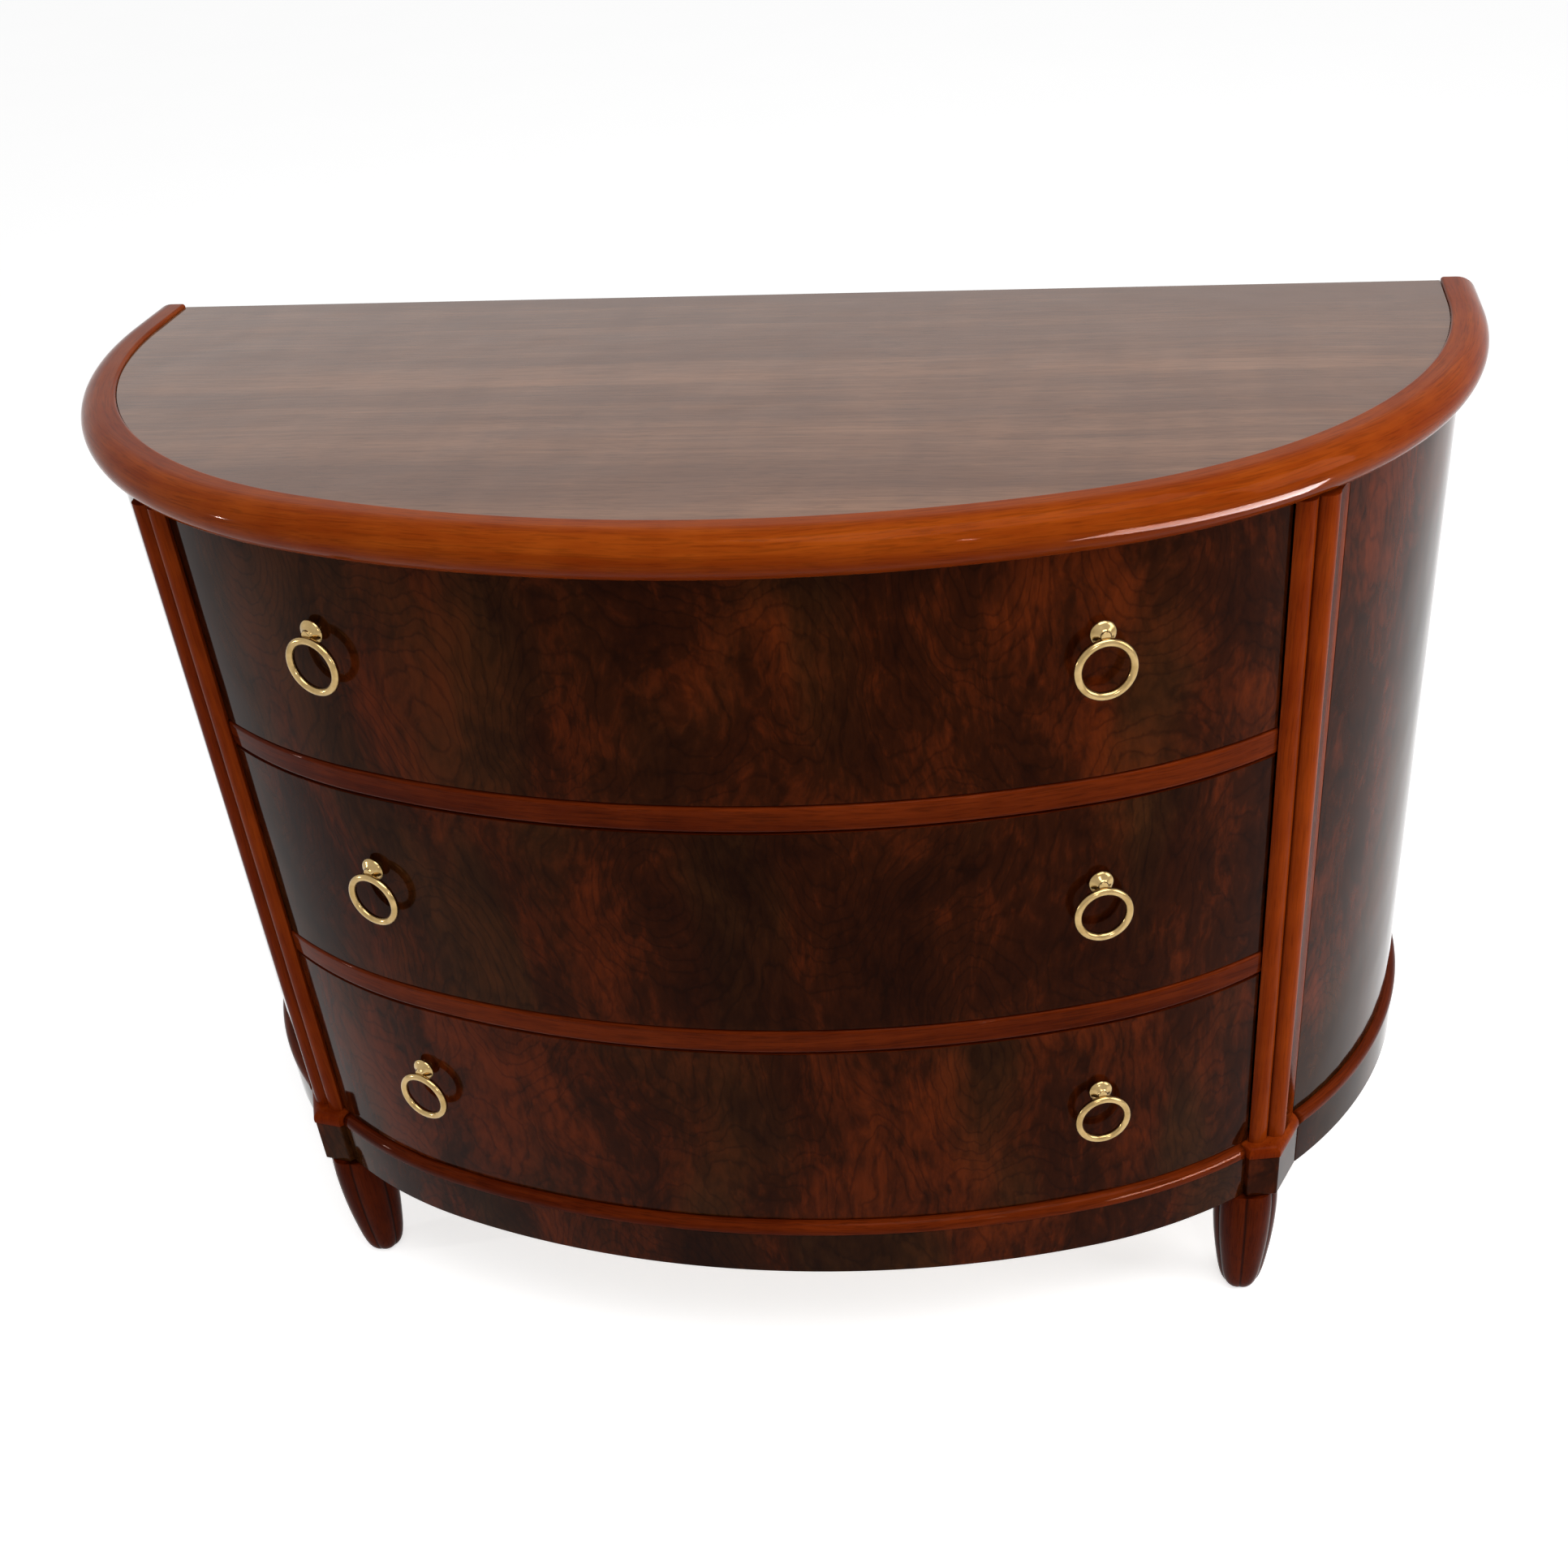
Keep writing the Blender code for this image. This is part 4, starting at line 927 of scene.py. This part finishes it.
class CHEST_OT_pulls(bpy.types.Operator):
    """Makes the six ring pulls: a turned post with a flared collar on a hub, and its ring"""

    bl_idname = "chest.pulls"
    bl_label = "Ring pulls"

    # Each radius of the turned post and its distance from the drawer front
    post_line = ((0.0058, 0.0003), (0.0060, 0.0007), (0.0060, 0.0012), (0.0054, 0.0016), (0.0038, 0.0025),
                 (0.0035, 0.0030), (0.0042, 0.0035), (0.0088, 0.0038), (0.0099, 0.0041), (0.01025, 0.0045),
                 (0.0102, 0.0049), (0.0099, 0.0056), (0.0094, 0.0062), (0.0087, 0.0068), (0.0079, 0.0073),
                 (0.0069, 0.0078), (0.0059, 0.0083), (0.0049, 0.0089), (0.0041, 0.0098), (0.0037, 0.0108),
                 (0.0034, 0.0118))
    hub_radius, hub_width, hub_ease = 0.0063, 0.009, 0.0012
    rim_angle = math.radians(60)
    post_facets, hub_facets, wire_facets, ring_facets = 48, 40, 20, 72

    def execute(self, context):
        for level in LEVELS:
            for hand in HANDS:
                pull = level + "_" + hand
                place = self.pull_frame(f"ring_{pull}_hinge")
                self.make_post("pull_post_" + pull, place)
                self.make_ring("pull_ring_" + pull, place)
        return {"FINISHED"}

    def pull_frame(self, name):
        """X along the drawer front, Y up and Z out of it, from the hinge of the ring."""
        joint = next(joint for joint in frame["joints"] if joint["name"] == name)
        origin = Vector(joint["pos_m"])
        out = Vector((origin.x, origin.y - Plan().front_y, 0.0)).normalized()
        up = Vector((0.0, 0.0, 1.0))
        foot = origin - out * sizes().hinge_reach + up * sizes().hinge_drop
        return Matrix.Translation(foot) @ Matrix((up.cross(out), up, out)).transposed().to_4x4()

    def spin_round(self, bm, steps):
        """Spin all that is drawn once round the Z axis."""
        bmesh.ops.spin(bm, geom=bm.verts[:] + bm.edges[:], cent=(0, 0, 0), axis=(0, 0, 1), angle=2 * math.pi,
                       steps=steps, use_merge=True, use_duplicate=False)
        bmesh.ops.remove_doubles(bm, verts=bm.verts[:], dist=TINY)

    def make_post(self, node, place):
        bm = bmesh.new()
        line_through(bm, [(radius, 0.0, height) for radius, height in self.post_line])
        self.spin_round(bm, self.post_facets)
        close_ends(bm)
        hub = bmesh.ops.create_cone(bm, cap_ends=True, segments=self.hub_facets, radius1=self.hub_radius,
                                    radius2=self.hub_radius, depth=self.hub_width)["verts"]
        edges = {edge for vert in hub for edge in vert.link_edges}
        rims = [edge for edge in edges if edge.calc_face_angle(0.0) > self.rim_angle]
        ease(bm, rims, self.hub_ease, ROUND_EDGE)
        bmesh.ops.recalc_face_normals(bm, faces=bm.faces[:])
        bmesh.ops.transform(bm, verts=bm.verts[:], matrix=place)
        finish_piece(bm, node, ["brass_finish"])

    def make_ring(self, node, place):
        size = sizes()
        middle = (size.ring_radius, 0.0, 0.0)
        bm = bmesh.new()
        wire = bmesh.ops.create_circle(bm, cap_ends=False, segments=self.wire_facets,
                                       radius=size.wire_radius)["verts"]
        bmesh.ops.translate(bm, verts=wire, vec=middle)
        bmesh.ops.rotate(bm, verts=wire, cent=middle, matrix=Matrix.Rotation(math.pi / 2, 3, "X"))
        self.spin_round(bm, self.ring_facets)
        bmesh.ops.recalc_face_normals(bm, faces=bm.faces[:])
        hang = Vector((0.0, -size.hinge_drop - size.ring_radius, size.hinge_reach))
        bmesh.ops.transform(bm, verts=bm.verts[:], matrix=place @ Matrix.Translation(hang))
        finish_piece(bm, node, ["brass_finish"])


class CHEST_OT_carcass(bpy.types.Operator):
    """Makes the boards inside and behind: back, bottom, runners, guides, rear blocks and drawer boxes"""

    bl_idname = "chest.carcass"
    bl_label = "Carcass and drawer boxes"

    def execute(self, context):
        pieces = [("back_panel", grain_straight_up, EASE_BOARD), ("bottom_board", grain_across, EASE_BOARD),
                  ("plinth_back", grain_across, EASE_THICK_BOARD)]
        for hand in HANDS:
            pieces.append(("block_rear_" + hand, grain_straight_up, EASE_THICK_BOARD))
            pieces += [(name + hand, grain_deep, EASE_BOARD)
                       for name in ("runner_upper_", "runner_lower_", "guide_")]
        for level in LEVELS:
            drawer = "drawer_" + level
            pieces += [(drawer + "_side_" + hand, grain_deep, EASE_DRAWER_BOX) for hand in HANDS]
            pieces += [(drawer + "_back", grain_across, EASE_DRAWER_BOX),
                       (drawer + "_base", grain_deep, EASE_DRAWER_BASE)]
        for node, grain, offset in pieces:
            board(node, "board_finish", grain, offset)
        return {"FINISHED"}


class CHEST_OT_studio(bpy.types.Operator):
    """Makes the pale floor, the soft lights and the camera"""

    bl_idname = "chest.studio"
    bl_label = "Studio"

    strip_target = (0.36, -0.19, 0.81)
    strip_length = (0.29, 0.84, 0.12)

    # Each light with its place, its target, its width and height in metres, and the setting of its power
    lights = (("key_light", (0.9, -1.1, 3.1), (0.0, 0.0, 0.5), 2.4, 1.6, "key_power"),
              ("window_light", (2.6, -0.5, 1.5), (0.2, 0.0, 0.5), 1.1, 1.5, "window_power"),
              ("lamp_right", (1.00, -2.38, 1.30), (0.15, -0.25, 0.82), 0.09, 0.09, "lamp_power"),
              ("lamp_left", (-2.41, -0.75, 0.78), (-0.45, -0.15, 0.82), 0.09, 0.09, "lamp_power"),
              ("strip_light", (0.95, -0.43, 0.28), strip_target, 0.30, 0.85, "strip_power"))
    floor_radius, floor_facets, floor_dimmest = 30.0, 96, 0.985
    sensor_width, clip_near, clip_far = 36.0, 0.05, 100.0

    def execute(self, context):
        self.make_floor()
        self.make_world()
        self.make_lights()
        self.aim_strip()
        self.make_camera()
        context.scene.view_settings.view_transform = "Standard"
        return {"FINISHED"}

    def seen_or_mirrored(self, nodes):
        """1 for rays from the camera, from a gloss or through glass, and 0 for the light on the object."""
        path = nodes.add("LightPath")
        either = nodes.math("MAXIMUM", path.outputs["Is Camera Ray"], path.outputs["Is Glossy Ray"])
        return nodes.math("MAXIMUM", either, path.outputs["Is Transmission Ray"])

    def make_floor(self):
        bm = bmesh.new()
        bmesh.ops.create_circle(bm, cap_ends=True, segments=self.floor_facets, radius=self.floor_radius)
        mesh = bpy.data.meshes.new("studio_floor")
        bm.to_mesh(mesh)
        bm.free()
        add_object("studio_floor", mesh)
        finish = Finish("floor_finish")
        tone = finish.noise(finish.place(), 3.0, 3.0, 0.5)
        colour = tuple(studio().floor_colour)
        dim = tuple(self.floor_dimmest * part for part in colour)
        shade = finish.ramp(tone, [(0.3, dim), (0.7, colour)])
        glow = finish.math("MULTIPLY", self.seen_or_mirrored(finish), studio().floor_glow)
        finish.shade(Base_Color=shade, Roughness=1.0, Specular_IOR_Level=0.0,
                     Emission_Color=WHITE, Emission_Strength=glow)
        mesh.materials.append(finish.material)

    def make_world(self):
        world = bpy.data.worlds.new("studio_room")
        world.use_nodes = True
        nodes = Nodes(world.node_tree)
        strength = nodes.add("MapRange", Value=self.seen_or_mirrored(nodes), To_Min=studio().room_light,
                             To_Max=1.0)
        background = nodes.add("Background", Color=WHITE, Strength=strength.outputs["Result"])
        nodes.add("OutputWorld", Surface=background.outputs["Background"])
        bpy.context.scene.world = world

    def make_lights(self):
        for name, place, target, width, height, power in self.lights:
            data = bpy.data.lights.new(name, "AREA")
            data.shape = "RECTANGLE"
            data.size = width
            data.size_y = height
            data.energy = getattr(studio(), power)
            light = add_object(name, data)
            light.location = place
            light.rotation_euler = (Vector(target) - Vector(place)).to_track_quat("-Z", "Y").to_euler()
            light.visible_camera = False

    def aim_strip(self):
        """Turn the strip light's length along the nosing, and let it light only the edges."""
        strip = bpy.data.objects["strip_light"]
        ahead = (Vector(self.strip_target) - strip.location).normalized()
        along = Vector(self.strip_length)
        along = (along - ahead * along.dot(ahead)).normalized()
        strip.rotation_euler = Matrix((along.cross(-ahead), along, -ahead)).transposed().to_euler()
        edges = bpy.data.collections.new("bright_edges")
        for name in ("top_nosing_finished", "bead_front_finished"):
            edges.objects.link(bpy.data.objects[name])
        strip.light_linking.receiver_collection = edges
        strip.visible_diffuse = False

    def make_camera(self):
        setting = studio()
        yaw, pitch, roll = setting.camera_yaw, setting.camera_pitch, setting.camera_roll
        ahead = Vector((-math.sin(yaw) * math.cos(pitch), math.cos(yaw) * math.cos(pitch), -math.sin(pitch)))
        level = Vector((math.cos(yaw), math.sin(yaw), 0.0))
        upright = level.cross(ahead)
        right = level * math.cos(roll) + upright * math.sin(roll)
        up = upright * math.cos(roll) - level * math.sin(roll)
        data = bpy.data.cameras.new("view")
        data.sensor_fit = "HORIZONTAL"
        data.sensor_width = self.sensor_width
        data.lens = self.sensor_width * setting.focal_share
        data.shift_x = setting.shift_x
        data.shift_y = setting.shift_y
        data.clip_start, data.clip_end = self.clip_near, self.clip_far
        camera = add_object("view", data)
        turn = Matrix((right, up, -ahead)).transposed().to_4x4()
        camera.matrix_world = Matrix.Translation(Vector(setting.camera_place)) @ turn
        bpy.context.scene.camera = camera


class CHEST_PT_panel(bpy.types.Panel):
    """Lists the pieces of the chest and the studio"""

    bl_idname = "CHEST_PT_panel"
    bl_label = "Chest of drawers"
    bl_space_type = "VIEW_3D"
    bl_region_type = "UI"
    bl_category = "Chest"

    def draw(self, context):
        for operator in OPERATORS:
            self.layout.operator(operator.bl_idname)
        for group in (sizes(), colours(), surface(), studio()):
            box = self.layout.box()
            for name in group.__annotations__:
                box.prop(group, name)


OPERATORS = (CHEST_OT_finishes, CHEST_OT_top, CHEST_OT_drawer_fronts, CHEST_OT_rails, CHEST_OT_sides,
             CHEST_OT_plinth, CHEST_OT_feet, CHEST_OT_pulls, CHEST_OT_carcass, CHEST_OT_studio)
GROUPS = {"chest_sizes": ChestSizes, "chest_colours": FinishColours, "chest_surface": FinishSurface,
          "chest_studio": StudioSettings}


def register():
    for name, group in GROUPS.items():
        bpy.utils.register_class(group)
        setattr(bpy.types.Scene, name, PointerProperty(type=group))
    for operator in OPERATORS:
        bpy.utils.register_class(operator)
    bpy.utils.register_class(CHEST_PT_panel)


def unregister():
    bpy.utils.unregister_class(CHEST_PT_panel)
    for operator in reversed(OPERATORS):
        bpy.utils.unregister_class(operator)
    for name, group in reversed(GROUPS.items()):
        delattr(bpy.types.Scene, name)
        bpy.utils.unregister_class(group)


def main():
    register()
    bpy.ops.chest.finishes()
    bpy.ops.chest.top()
    bpy.ops.chest.drawer_fronts()
    bpy.ops.chest.rails()
    bpy.ops.chest.sides()
    bpy.ops.chest.plinth()
    bpy.ops.chest.feet()
    bpy.ops.chest.pulls()
    bpy.ops.chest.carcass()
    bpy.ops.chest.studio()


if __name__ == "__main__":
    main()
